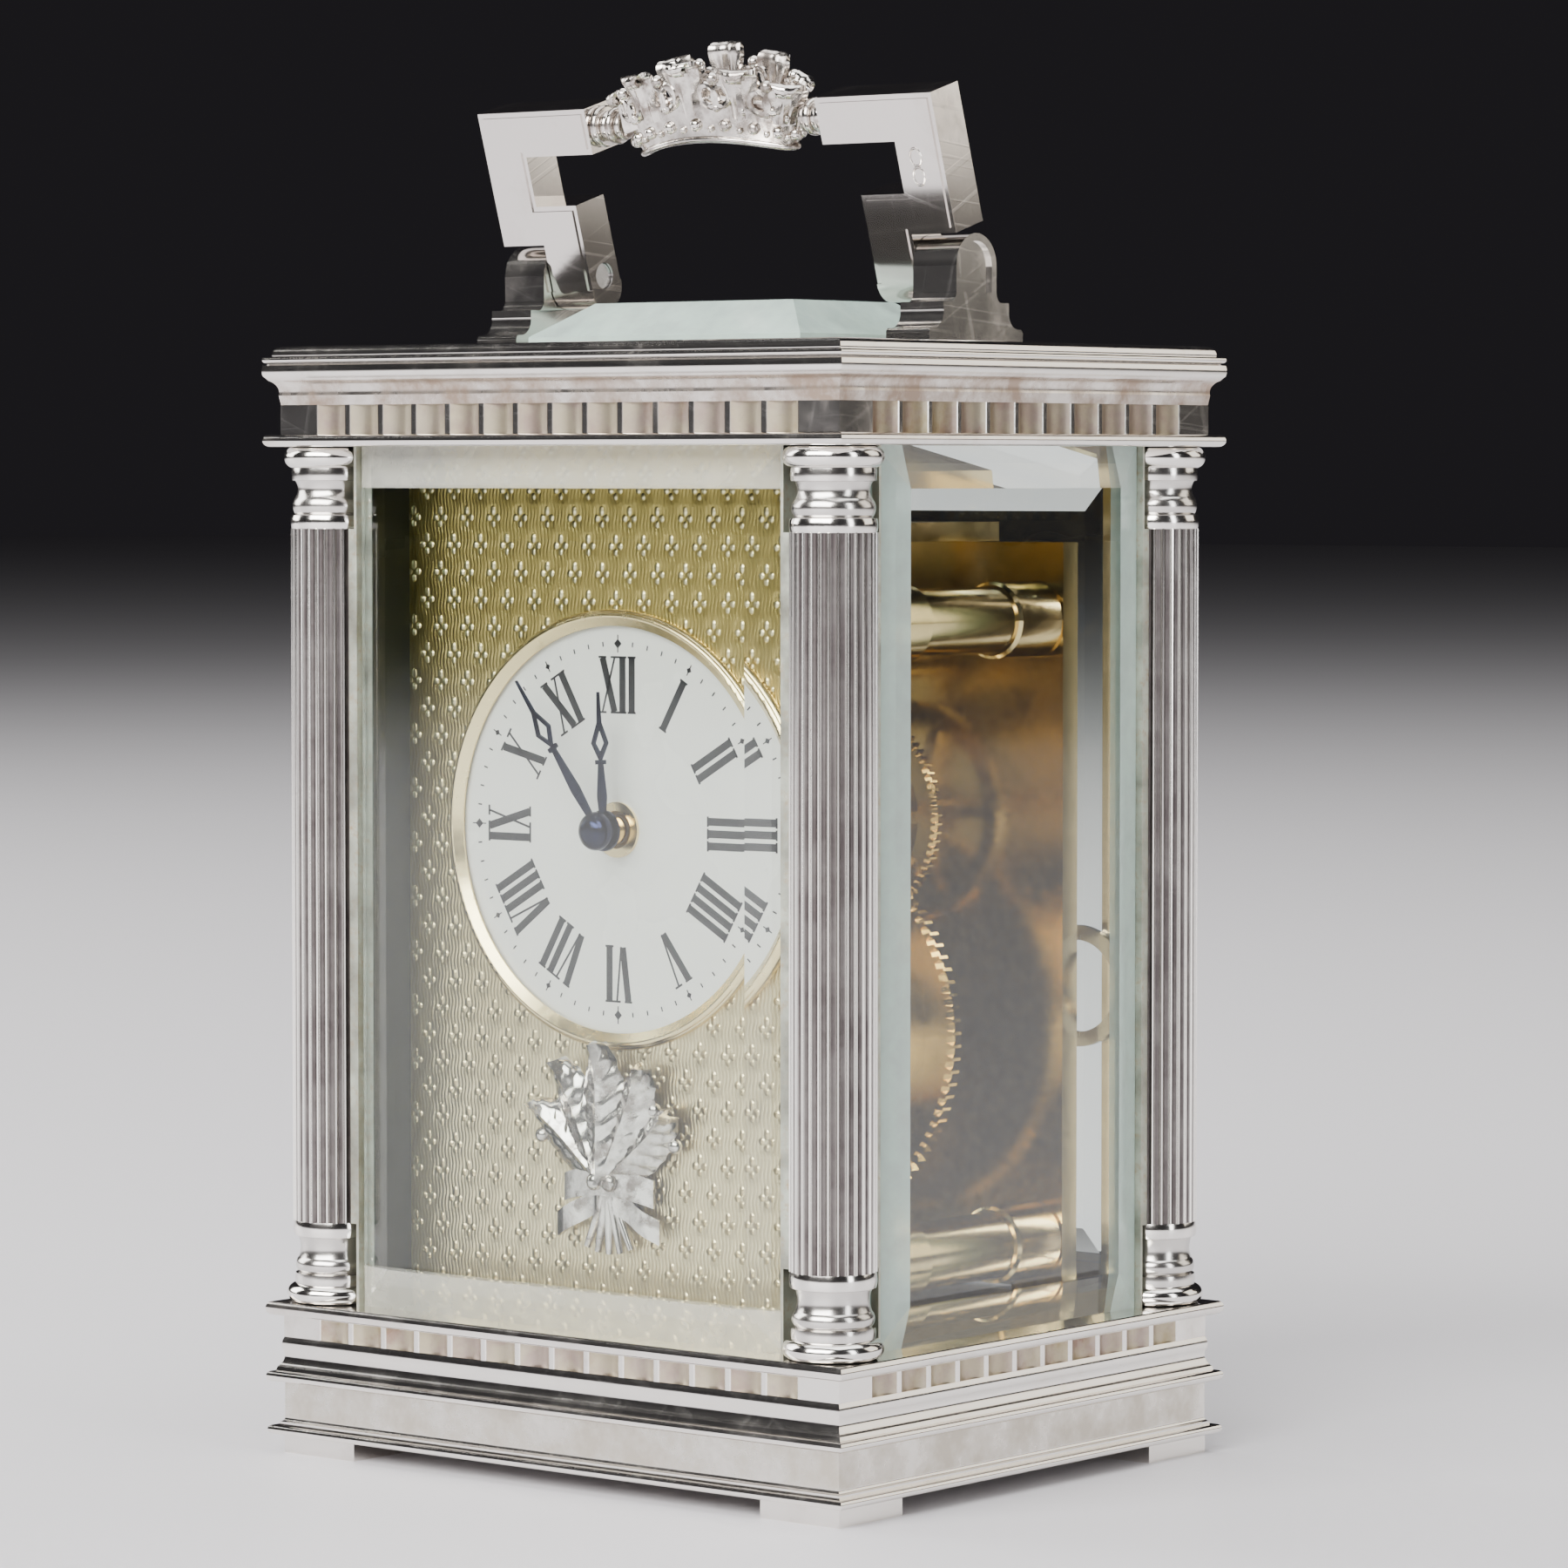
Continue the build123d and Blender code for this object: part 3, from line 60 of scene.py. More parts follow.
# %% Camera
CAMERA_PLACE = (0.3724, -0.4496, 0.0930)
LOOK_DOWN = 2.893
TURN_TO_SIDE = 39.27
LENS_LENGTH = 142.11
camera_data = bpy.data.cameras.new("camera")
camera_data.sensor_width = 36.0
camera_data.lens = LENS_LENGTH
camera = bpy.data.objects.new("camera", camera_data)
camera.location = CAMERA_PLACE
camera.rotation_euler = (radians(90 - LOOK_DOWN), 0, radians(TURN_TO_SIDE))
bpy.context.scene.collection.objects.link(camera)
bpy.context.scene.camera = camera
print("camera lens:", LENS_LENGTH, "mm, looking down", LOOK_DOWN, "degrees")

# %% [markdown]
# ## Stage and light
# Silver shows its surroundings, so it needs large soft lights with dark gaps between them. One
# broad light in front lights the dial and the case, and one overhead lights the top plate and
# the mouldings. Three weak ones, left, right and behind, draw bright lines down the columns and
# warm the movement. The world is almost black, and that is what gives the metal its contrast.

# %% Floor
def area_light(name, place, target, size, power, colour):
    """Rectangular soft light aimed at a point."""
    data = bpy.data.lights.new(name, "AREA")
    data.shape = "RECTANGLE"
    data.size, data.size_y = size
    data.energy = power
    data.color = colour
    light = bpy.data.objects.new(name, data)
    light.location = place
    aim = Vector(target) - Vector(place)
    light.rotation_euler = aim.to_track_quat("-Z", "Y").to_euler()
    bpy.context.scene.collection.objects.link(light)
    return light


FLOOR_REACH = 6.0
floor_mesh = bmesh.new()
bmesh.ops.create_grid(floor_mesh, x_segments=1, y_segments=1, size=FLOOR_REACH)
floor_data = bpy.data.meshes.new("floor")
floor_mesh.to_mesh(floor_data)
floor_mesh.free()
floor = bpy.data.objects.new("floor", floor_data)
bpy.context.scene.collection.objects.link(floor)
print("floor reaches", FLOOR_REACH, "m each way")

# %% Lights and world
CLOCK_MIDDLE = (0.0, 0.0, 0.065)
area_light("light_left", (-1.35, -0.20, 0.62), CLOCK_MIDDLE, (0.8, 0.9), 16.0, (1.0, 0.985, 0.96))
area_light("light_front", (0.10, -1.45, 0.95), CLOCK_MIDDLE, (1.7, 0.9), 82.0, (1.0, 0.99, 0.97))
area_light("light_right", (1.10, -0.10, 0.40), CLOCK_MIDDLE, (0.22, 0.8), 4.0, (0.97, 0.985, 1.0))
area_light("light_behind", (0.85, 1.15, 0.62), CLOCK_MIDDLE, (0.9, 0.9), 5.0, (1.0, 0.93, 0.82))
area_light("light_top", (0.0, 0.10, 1.30), CLOCK_MIDDLE, (1.7, 1.4), 26.0, (1.0, 1.0, 1.0))

NEARLY_BLACK = (0.014, 0.013, 0.015, 1.0)
world = bpy.data.worlds.new("studio")
world.use_nodes = True
background = world.node_tree.nodes["Background"]
background.inputs["Color"].default_value = NEARLY_BLACK
background.inputs["Strength"].default_value = 1.0
bpy.context.scene.world = world
print("lights:", sorted(light.name for light in bpy.data.lights))


# %% [markdown]
# ## Small helpers for materials
# A material is a tree of nodes. Adding a node, setting it and linking it takes three calls in
# Blender, so `Tree.add` does all of it in one. An input is named as in the editor, with _ for a
# space, or by its number after a _, as in _0. Shared effects are node groups, made once and
# placed in each material.

# %% Node helpers
class Tree:
    """A node tree with one-call nodes; inputs take numbers, colours or sockets."""

    def __init__(self, tree):
        self.tree = tree

    def add(self, kind, settings=None, **inputs):
        node = self.tree.nodes.new(kind)
        for key, value in (settings or {}).items():
            setattr(node, key, value)
        for key, value in inputs.items():
            self.feed(node, key, value)
        return node

    def feed(self, node, key, value):
        name = key[1:] if key[0] == "_" else key.replace("_", " ")
        socket = node.inputs[int(name)] if name.isdigit() else node.inputs[name]
        if isinstance(value, bpy.types.NodeSocket):
            self.tree.links.new(value, socket)
        else:
            socket.default_value = value

    def math(self, operation, first, second=0.0, clamp=False):
        return self.add("ShaderNodeMath", {"operation": operation, "use_clamp": clamp},
                        _0=first, _1=second).outputs[0]

    def ramp(self, value, low, high, out_low=0.0, out_high=1.0):
        node = self.add("ShaderNodeMapRange", {"clamp": True}, Value=value, From_Min=low,
                        From_Max=high, To_Min=out_low, To_Max=out_high)
        return node.outputs["Result"]

    def mix(self, mask, first, second):
        node = self.add("ShaderNodeMix", {"data_type": "RGBA"}, _0=mask, _6=first, _7=second)
        return node.outputs[2]

    def noise(self, vector, scale, detail=4.0, roughness=0.55):
        node = self.add("ShaderNodeTexNoise", Vector=vector, Scale=scale, Detail=detail,
                        Roughness=roughness)
        return node.outputs["Fac"]


# %% Groups, materials and dressing
def new_group(name, inputs, outputs):
    """Shader node group with named inputs (a default of None makes a vector) and float outputs."""
    group = bpy.data.node_groups.new(name, "ShaderNodeTree")
    for label, default in inputs.items():
        kind = "NodeSocketVector" if default is None else "NodeSocketFloat"
        socket = group.interface.new_socket(label, in_out="INPUT", socket_type=kind)
        if default is not None:
            socket.default_value = default
    for label in outputs:
        group.interface.new_socket(label, in_out="OUTPUT", socket_type="NodeSocketFloat")
    tree = Tree(group)
    start = tree.add("NodeGroupInput")
    end = tree.add("NodeGroupOutput")
    return tree, start, end


def new_material(name):
    """Material with its tree, its Principled shader and its object coordinates."""
    material = bpy.data.materials.new(name)
    material.use_nodes = True
    tree = Tree(material.node_tree)
    shader = material.node_tree.nodes["Principled BSDF"]
    place = tree.add("ShaderNodeTexCoord").outputs["Object"]
    return material, tree, shader, place


def place_group(tree, group, **inputs):
    """Put a shared group in a material."""
    return tree.add("ShaderNodeGroup", {"node_tree": group.tree}, **inputs).outputs


def set_shader(shader, **values):
    """Plain values on the shader's own sockets."""
    for key, value in values.items():
        shader.inputs[key.replace("_", " ")].default_value = value


def dress(material, *names):
    """Give CAD pieces a material in every slot."""
    for name in names:
        slots = nodes[name].data.materials
        if not slots:
            slots.append(material)
        for index in range(len(slots)):
            slots[index] = material
    print(material.name, "on", len(names), "pieces")


# %% [markdown]
# ## Shared effects
# Two effects come back on several metals: cloudy tarnish with small stains inside the clouds,
# and fine polishing scratches that run roughly one way but cross a little.

# %% Tarnish clouds
tarnish_inputs = {"Vector": None, "Scale": 180.0, "Spread": 0.5}
tarnish_group, start, end = new_group("tarnish clouds", tarnish_inputs, ["Mask", "Stain"])
cloud = tarnish_group.noise(start.outputs["Vector"], start.outputs["Scale"], 6.0, 0.62)
low_edge = tarnish_group.math("SUBTRACT", 0.82, start.outputs["Spread"])
high_edge = tarnish_group.math("ADD", low_edge, 0.3)
mask = tarnish_group.ramp(cloud, low_edge, high_edge)
fine_scale = tarnish_group.math("MULTIPLY", start.outputs["Scale"], 6.0)
fine = tarnish_group.noise(start.outputs["Vector"], fine_scale, 3.0, 0.6)
stain = tarnish_group.math("MULTIPLY", tarnish_group.ramp(fine, 0.5, 0.75), mask)
tarnish_group.feed(end, "Mask", mask)
tarnish_group.feed(end, "Stain", stain)

# %% Polishing scratches
SCRATCH_TILTS = (0.08, -0.5, 1.3)
THINNER_THAN_LONG = (1.0, 1.0, 60.0)
scratch_inputs = {"Vector": None, "Length": 26.0, "Width": 2600.0}
scratch_group, start, end = new_group("polishing scratches", scratch_inputs, ["Height", "Rough"])
total = None
for tilt in SCRATCH_TILTS:
    turned = scratch_group.add("ShaderNodeMapping", Vector=start.outputs["Vector"],
                               Rotation=(tilt, tilt * 0.7, tilt))
    squeezed = scratch_group.add("ShaderNodeVectorMath", {"operation": "MULTIPLY"},
                                 _0=turned.outputs[0], _1=THINNER_THAN_LONG)
    lines = scratch_group.noise(squeezed.outputs[0], start.outputs["Length"], 2.0, 0.5)
    line = scratch_group.ramp(lines, 0.60, 0.68)
    total = line if total is None else scratch_group.math("ADD", total, line)
hair = scratch_group.noise(start.outputs["Vector"], start.outputs["Width"], 2.0, 0.5)
faint_hair = scratch_group.math("MULTIPLY", hair, 0.4)
scratch_group.feed(end, "Height", scratch_group.math("ADD", total, faint_hair))
scratch_group.feed(end, "Rough", total)
print("shared groups:", [group.name for group in bpy.data.node_groups])


# %% [markdown]
# ## Silver
# The case is polished silver that has been wiped for years: bright on the edges and tops, with
# warm brown tarnish left in the hollows that a cloth can't reach. Where the hollows are is known
# from the piece itself, so each kind of piece hands the material its own hollow mask.

# %% Silver recipe
BRIGHT_SILVER = (0.86, 0.83, 0.79, 1.0)
BROWN_TARNISH = (0.38, 0.29, 0.23, 1.0)
NICHE_TARNISH = (0.40, 0.33, 0.20, 1.0)
NICHE_PATCHES = (0.30, 0.20, 0.15, 1.0)
DARK_TARNISH = (0.10, 0.085, 0.085, 1.0)
PALE_TARNISH = (0.62, 0.57, 0.49, 1.0)
PIT_TARNISH = (0.17, 0.13, 0.11, 1.0)
# Darker silver for the handle arms: painted shade standing in for the darker reflections on their faces.
SHADED_HANDLE_SILVER = (0.74, 0.70, 0.67, 1.0)
CAST_SILVER = (0.72, 0.68, 0.64, 1.0)


def silver_material(name, hollow=None, tarnish=BROWN_TARNISH, base=BRIGHT_SILVER, spread=0.30,
                    gloss=0.13, even=False, patches=None):
    """Silver whose tarnish gathers where hollow(tree, place) is 1 and clouds the rest a little.

    An even hollow is dark all over, and patches is a second tarnish colour mixed into the first.
    """
    material, tree, shader, place = new_material(name)
    clouds = place_group(tree, tarnish_group, Vector=place, Scale=110.0, Spread=spread)
    marks = place_group(tree, scratch_group, Vector=place)
    film = tree.math("MULTIPLY", clouds["Mask"], 0.35)
    stain = tree.math("MULTIPLY", clouds["Stain"], 0.5)
    dirt = tree.math("ADD", film, stain)
    if hollow is not None:
        depth = hollow(tree, place)
        least = 0.9 if even else 0.25
        patchy = tree.ramp(tree.noise(place, 190.0, 6.0, 0.65), 0.38, 0.62, least, 1.0)
        dirt = tree.math("ADD", dirt, tree.math("MULTIPLY", depth, patchy), clamp=True)
    if patches is not None:
        patch_mask = tree.ramp(tree.noise(place, 260.0, 5.0, 0.6), 0.42, 0.60)
        tarnish = tree.mix(patch_mask, tarnish, patches)
    colour = tree.mix(dirt, base, tarnish)
    rough = tree.math("ADD", tree.math("MULTIPLY", dirt, 0.26), gloss)
    rough = tree.math("ADD", rough, tree.math("MULTIPLY", marks["Rough"], 0.02), clamp=True)
    wave = tree.noise(place, 45.0, 2.0, 0.4)
    height = tree.math("ADD", wave, tree.math("MULTIPLY", marks["Height"], 0.006))
    bump = tree.add("ShaderNodeBump", Strength=0.35, Distance=0.00022, Height=height)
    set_shader(shader, Metallic=1.0)
    tree.feed(shader, "Base Color", colour)
    tree.feed(shader, "Roughness", rough)
    tree.feed(shader, "Normal", bump.outputs[0])
    return material


# %% Where the hollows are
def split(tree, place):
    """The three coordinates of a point, X and Y folded to the positive side."""
    parts = tree.add("ShaderNodeSeparateXYZ", Vector=place).outputs
    return tree.math("ABSOLUTE", parts[0]), tree.math("ABSOLUTE", parts[1]), parts[2]


def height_band(low, high, soft):
    """Hollow mask for a horizontal stretch between two heights, soft at its ends, all in millimetres."""
    def mask(tree, place):
        _, _, z = split(tree, place)
        rise = tree.ramp(z, (low - soft) * MM, (low + soft) * MM)
        fall = tree.ramp(z, (high - soft) * MM, (high + soft) * MM, 1.0, 0.0)
        return tree.math("MULTIPLY", rise, fall)
    return mask


def niche_depth(node):
    """Hollow mask that grows behind the outer faces of a rectangular band."""
    _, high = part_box(node)

    def mask(tree, place):
        x, y, _ = split(tree, place)
        behind_side = tree.math("SUBTRACT", high.x, x)
        behind_front = tree.math("SUBTRACT", high.y, y)
        depth = tree.math("MINIMUM", behind_side, behind_front)
        return tree.ramp(depth, 0.02 * MM, 0.07 * MM, 0.0, 0.85)
    return mask


FLUTE_FLOOR = 3.72 * MM
FLUTE_RIM = 3.88 * MM


def flute_depth(tree, place):
    """Hollow mask inside the flutes, and weaker in the necks, of the four columns."""
    low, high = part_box("column_front_right")
    middle_x = (low.x + high.x) / 2
    middle_y = abs(low.y + high.y) / 2
    x, y, z = split(tree, place)
    across = tree.math("SUBTRACT", x, middle_x)
    along = tree.math("SUBTRACT", y, middle_y)
    across_squared = tree.math("MULTIPLY", across, across)
    along_squared = tree.math("MULTIPLY", along, along)
    reach = tree.math("SQRT", tree.math("ADD", across_squared, along_squared))
    in_flute = tree.ramp(reach, FLUTE_FLOOR, FLUTE_RIM, 1.0, 0.0)
    above_foot = tree.ramp(z, 21.0 * MM, 22.0 * MM)
    below_capital = tree.ramp(z, 87.5 * MM, 88.5 * MM, 1.0, 0.0)
    on_shaft = tree.math("MULTIPLY", above_foot, below_capital)
    neck = tree.math("MULTIPLY", in_flute, 0.3)
    return tree.math("MAXIMUM", tree.math("MULTIPLY", in_flute, on_shaft), neck)


# %% Silver on the case
plain_silver = silver_material("polished silver")
# The handle arms take a darker copy of the same silver, as painted shade.
painted_darker_handle_silver = silver_material("handle silver", base=SHADED_HANDLE_SILVER, spread=0.28, gloss=0.10)
dress(plain_silver, "feet", "base_plate", "cornice_flange", "door_frame", "door_knob",
      "handle_bracket_left", "handle_bracket_right", "top_plate")
dress(painted_darker_handle_silver, "handle_arm_left", "handle_arm_right")
base_hollow = height_band(3.3, 6.9, 0.15)
dress(silver_material("base silver", base_hollow, PALE_TARNISH), "base_moulding")
cornice_hollow = height_band(98.9, 101.6, 0.3)
dress(silver_material("cornice silver", cornice_hollow), "cornice_moulding")
for storey in ("base", "cornice"):
    band = storey + "_dentil_band"
    band_silver = silver_material(storey + " band silver", niche_depth(band), NICHE_TARNISH,
                                  even=True, patches=NICHE_PATCHES)
    dress(band_silver, band)
column_silver = silver_material("column silver", flute_depth, DARK_TARNISH, spread=0.12, even=True)
dress(column_silver, *[name for name in nodes if name.startswith("column_")])


# %% [markdown]
# ## Corner posts
# The posts behind the columns never get polished, so they carry a dull grey-green film with
# rusty and pale blotches. Their faces towards the glass are painted almost black, as painted
# shade for the dark gap between a post and a pane.

# %% Post metal
GREEN_FILM = (0.30, 0.30, 0.25, 1.0)
PALE_BLOTCH = (0.52, 0.55, 0.47, 1.0)
RUST = (0.40, 0.26, 0.14, 1.0)
# Near-black colour painted on the faces towards the glass, as painted shade.
PAINTED_SHADE_INSIDE = (0.025, 0.032, 0.030, 1.0)
material, tree, shader, place = new_material("post metal")
clouds = place_group(tree, tarnish_group, Vector=place, Scale=240.0, Spread=0.5)
blotchy = tree.mix(clouds["Mask"], GREEN_FILM, PALE_BLOTCH)
rusty = tree.mix(tree.math("MULTIPLY", clouds["Stain"], 0.8), blotchy, RUST)
across, _, _ = split(tree, place)
# Painted shade: the faces towards the glass are coloured near-black.
painted_shade_face = tree.ramp(across, 24.55 * MM, 24.8 * MM, 1.0, 0.0)
tree.feed(shader, "Base Color", tree.mix(painted_shade_face, rusty, PAINTED_SHADE_INSIDE))
tree.feed(shader, "Roughness", tree.ramp(clouds["Mask"], 0.0, 1.0, 0.28, 0.6))
set_shader(shader, Metallic=0.8)
dress(material, "corner_posts", "top_glass_frame")


# %% [markdown]
# ## Glass
# Each pane is thick plate with a broad bevel. Plate glass looks green through its edges, so the
# base colour is slightly green. A bevel scatters light where the flat middle lets it through, so
# the bevels are a ground, paler glass, and old cement has left smears on the front ones.

# %% Glass recipe
PANE_TINT = (0.94, 0.985, 0.965, 1.0)
TOP_TINT = (0.80, 0.93, 0.90, 1.0)
GREEN_EDGE = (0.60, 0.76, 0.69, 1.0)
OLD_CEMENT = (0.83, 0.78, 0.60, 1.0)


def glass_material(name, tint, frost=None, frost_colour=GREEN_EDGE):
    """Clear plate glass; where frost(tree, place) is 1 it is a ground and clouded bevel."""
    material, tree, shader, place = new_material(name)
    set_shader(shader, IOR=1.50, Metallic=0.0)
    smears = tree.ramp(tree.noise(place, 60.0, 3.0, 0.5), 0.62, 0.72)
    rough = tree.math("MULTIPLY", smears, 0.02)
    colour, clear = tint, 1.0
    if frost is not None:
        ground = frost(tree, place)
        streaks = tree.ramp(tree.noise(place, 300.0, 3.0, 0.6), 0.3, 0.7, 0.75, 1.0)
        ground = tree.math("MULTIPLY", ground, streaks)
        rough = tree.math("ADD", rough, tree.math("MULTIPLY", ground, 0.22))
        colour = tree.mix(ground, tint, frost_colour)
        clear = tree.math("SUBTRACT", 1.0, tree.math("MULTIPLY", ground, 0.55))
    tree.feed(shader, "Base Color", colour)
    tree.feed(shader, "Transmission Weight", clear)
    tree.feed(shader, "Roughness", rough)
    ripple = tree.noise(place, 90.0, 1.0, 0.3)
    bump = tree.add("ShaderNodeBump", Strength=0.05, Distance=0.0002, Height=ripple)
    tree.feed(shader, "Normal", bump.outputs[0])
    return material


# %% Where the bevels are
BEVEL = 3.85 * MM
BLUR = 0.05 * MM
TOP_FLAT_X = 12.0 * MM
TOP_FLAT_Y = 7.5 * MM


def over(tree, value, edge, blur=BLUR):
    """Mask that rises from 0 to 1 where the value passes an edge."""
    return tree.ramp(value, edge - blur, edge + blur)


def side_bevel(tree, place):
    """Bevelled margin of a side pane, front and back edges."""
    _, y, _ = split(tree, place)
    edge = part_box("side_glass_right")[1].y
    return over(tree, y, edge - BEVEL)


def front_bevel(tree, place):
    """Bevelled margins of the front pane at its top and bottom, smeared with old cement."""
    _, _, z = split(tree, place)
    low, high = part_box("front_glass")
    above = over(tree, z, high.z - BEVEL)
    below = tree.math("SUBTRACT", 1.0, over(tree, z, low.z + BEVEL))
    return tree.math("MULTIPLY", tree.math("MAXIMUM", above, below), 0.55)


def top_bevel(tree, place):
    """Sloping margin of the top pane, all round its flat middle."""
    x, y, _ = split(tree, place)
    over_x = over(tree, x, TOP_FLAT_X, 0.1 * MM)
    over_y = over(tree, y, TOP_FLAT_Y, 0.1 * MM)
    return tree.math("MAXIMUM", over_x, over_y)


# %% Glass in the panes
dress(glass_material("clear pane glass", PANE_TINT), "door_glass")
front_pane = glass_material("front pane glass", PANE_TINT, front_bevel, OLD_CEMENT)
dress(front_pane, "front_glass")
side_pane = glass_material("side pane glass", PANE_TINT, side_bevel)
dress(side_pane, "side_glass_left", "side_glass_right")
dress(glass_material("top pane glass", TOP_TINT, top_bevel), "top_glass")


# %% [markdown]
# ## Brass, steel and enamel
# The movement is lacquered brass with turning marks, the small steel parts are polished, the
# hands are blued, and the dial is fired white enamel that is very smooth and faintly cream. The
# four metals differ in their two colours, their gloss and how much tarnish clouds them, so one
# recipe takes these four values and makes them all.

# %% Movement metals
def turned_metal(name, base, dark, roughness, cloudy=0.3):
    """Turned or grained metal: its bright and dark colours, its gloss and its tarnish clouds."""
    material, tree, shader, place = new_material(name)
    clouds = place_group(tree, tarnish_group, Vector=place, Scale=160.0, Spread=0.36)
    colour = tree.mix(tree.math("MULTIPLY", clouds["Mask"], cloudy), base, dark)
    grain = tree.noise(place, 900.0, 2.0, 0.5)
    tree.feed(shader, "Base Color", colour)
    tree.feed(shader, "Roughness", tree.ramp(grain, 0.3, 0.7, roughness, roughness + 0.08))
    bump = tree.add("ShaderNodeBump", Strength=0.05, Distance=0.00005, Height=grain)
    tree.feed(shader, "Normal", bump.outputs[0])
    set_shader(shader, Metallic=1.0)
    return material


# %% The four metals
BRASS, OLD_BRASS = (0.86, 0.67, 0.34, 1.0), (0.50, 0.35, 0.17, 1.0)
STEEL, OLD_STEEL = (0.60, 0.60, 0.61, 1.0), (0.33, 0.31, 0.30, 1.0)
BLUED, OLD_BLUED = (0.012, 0.016, 0.040, 1.0), (0.03, 0.02, 0.05, 1.0)
GILT, OLD_GILT = (0.93, 0.76, 0.42, 1.0), (0.72, 0.52, 0.25, 1.0)
movement_brass = turned_metal("movement brass", BRASS, OLD_BRASS, 0.14)
dress(movement_brass, "front_plate", "back_plate", "plate_pillars", "barrel", "barrel_cover",
      "centre_wheel", "third_wheel", "contrate_wheel", "minute_wheel", "hour_wheel", "platform",
      "platform_cocks", "balance_wheel")
steel = turned_metal("polished steel", STEEL, OLD_STEEL, 0.20)
dress(steel, "handle_pins", "door_pins", "movement_screws", "mainspring", "winding_arbor",
      "ratchet_wheel", "click", "click_spring", "cannon_pinion", "escape_wheel", "pallet_lever",
      "hairspring", "door_ring")
blued = turned_metal("blued steel", BLUED, OLD_BLUED, 0.14)
dress(blued, "hour_hand", "minute_hand", "hand_nut")
gilt_trim = turned_metal("gilt trim", GILT, OLD_GILT, 0.20, 0.1)
dress(gilt_trim, "dial_bezel", "dial_collet")

# %% Dial enamel
CREAM = (0.95, 0.925, 0.87, 1.0)
WHITE = (0.97, 0.95, 0.90, 1.0)
material, tree, shader, place = new_material("white enamel")
mottle = tree.noise(place, 70.0, 3.0, 0.5)
tree.feed(shader, "Base Color", tree.mix(mottle, CREAM, WHITE))
tree.feed(shader, "Roughness", tree.ramp(mottle, 0.3, 0.7, 0.22, 0.30))
set_shader(shader, Coat_Weight=0.3)
dress(material, "dial_plate")

# %% [markdown]
# ## Floor finish
# The floor is a plain pale surface with the faintest grain, so that it reads as a real tabletop.

# %% Floor finish
material, tree, shader, place = new_material("pale floor")
grain = tree.noise(place, 900.0, 3.0, 0.6)
floor_colour = tree.mix(grain, (0.60, 0.585, 0.61, 1.0), (0.66, 0.645, 0.67, 1.0))
tree.feed(shader, "Base Color", floor_colour)
tree.feed(shader, "Roughness", tree.ramp(grain, 0.3, 0.7, 0.45, 0.6))
floor.data.materials.append(material)
print(material.name, "on the floor")

# %% [markdown]
# ## Engine-turned mask
# A rose engine cuts the gilt mask with rows of little four-dot clusters, every other row moved
# half a step, over fine upright lines. Cutting each dot as geometry would cost many thousands
# of faces for marks a third of a millimetre wide, so the pattern is worked out in a node group.
# A cluster is folded left to right, so one side dot serves for two.

# %% Cluster pattern
CLUSTER_STEP = 3.35 * MM
ROW_STEP = 2.57 * MM
LINE_STEP = 0.42 * MM
LINE_WAVE = 0.09 * MM
STEPS_TO_THE_LEFT = 40
cluster_group, start, end = new_group("four dot clusters", {"Vector": None}, ["Dots", "Lines", "Halo"])
tree = cluster_group
parts = tree.add("ShaderNodeSeparateXYZ", Vector=start.outputs["Vector"]).outputs
row = tree.math("FLOOR", tree.math("DIVIDE", parts[2], ROW_STEP))
shift = tree.math("MULTIPLY", tree.math("PINGPONG", row, 1.0), CLUSTER_STEP / 2)
moved = tree.math("ADD", tree.math("ADD", parts[0], shift), STEPS_TO_THE_LEFT * CLUSTER_STEP)
across = tree.math("SUBTRACT", tree.math("MODULO", moved, CLUSTER_STEP), CLUSTER_STEP / 2)
up = tree.math("SUBTRACT", tree.math("MODULO", parts[2], ROW_STEP), ROW_STEP / 2)
side = tree.math("ABSOLUTE", across)


def dot(middle_x, middle_z, radius_x, radius_z):
    """Soft round bump that falls from 1 in its middle to 0 at its rim."""
    run = tree.math("DIVIDE", tree.math("SUBTRACT", side, middle_x * MM), radius_x * MM)
    rise = tree.math("DIVIDE", tree.math("SUBTRACT", up, middle_z * MM), radius_z * MM)
    reach = tree.math("ADD", tree.math("MULTIPLY", run, run), tree.math("MULTIPLY", rise, rise))
    return tree.math("SUBTRACT", 1.0, reach, clamp=True)


SIDE_DOTS = (0.55, 0.0, 0.36, 0.36)
TOP_DOT = (0.0, 0.66, 0.32, 0.48)
BOTTOM_DOT = (0.0, -0.58, 0.30, 0.36)
HALO = (0.0, 0.04, 1.25, 1.35)
dots = dot(*SIDE_DOTS)
for shape in (TOP_DOT, BOTTOM_DOT):
    dots = tree.math("MAXIMUM", dots, dot(*shape))
halo = dot(*HALO)
wave = tree.math("SINE", tree.math("MULTIPLY", parts[2], 2 * pi / ROW_STEP))
bent = tree.math("ADD", parts[0], tree.math("MULTIPLY", wave, LINE_WAVE))
lines = tree.math("ABSOLUTE", tree.math("SINE", tree.math("MULTIPLY", bent, pi / LINE_STEP)))
tree.feed(end, "Dots", dots)
tree.feed(end, "Lines", lines)
tree.feed(end, "Halo", halo)
print("clusters every", round(CLUSTER_STEP / MM, 2), "mm, rows every", round(ROW_STEP / MM, 2), "mm")

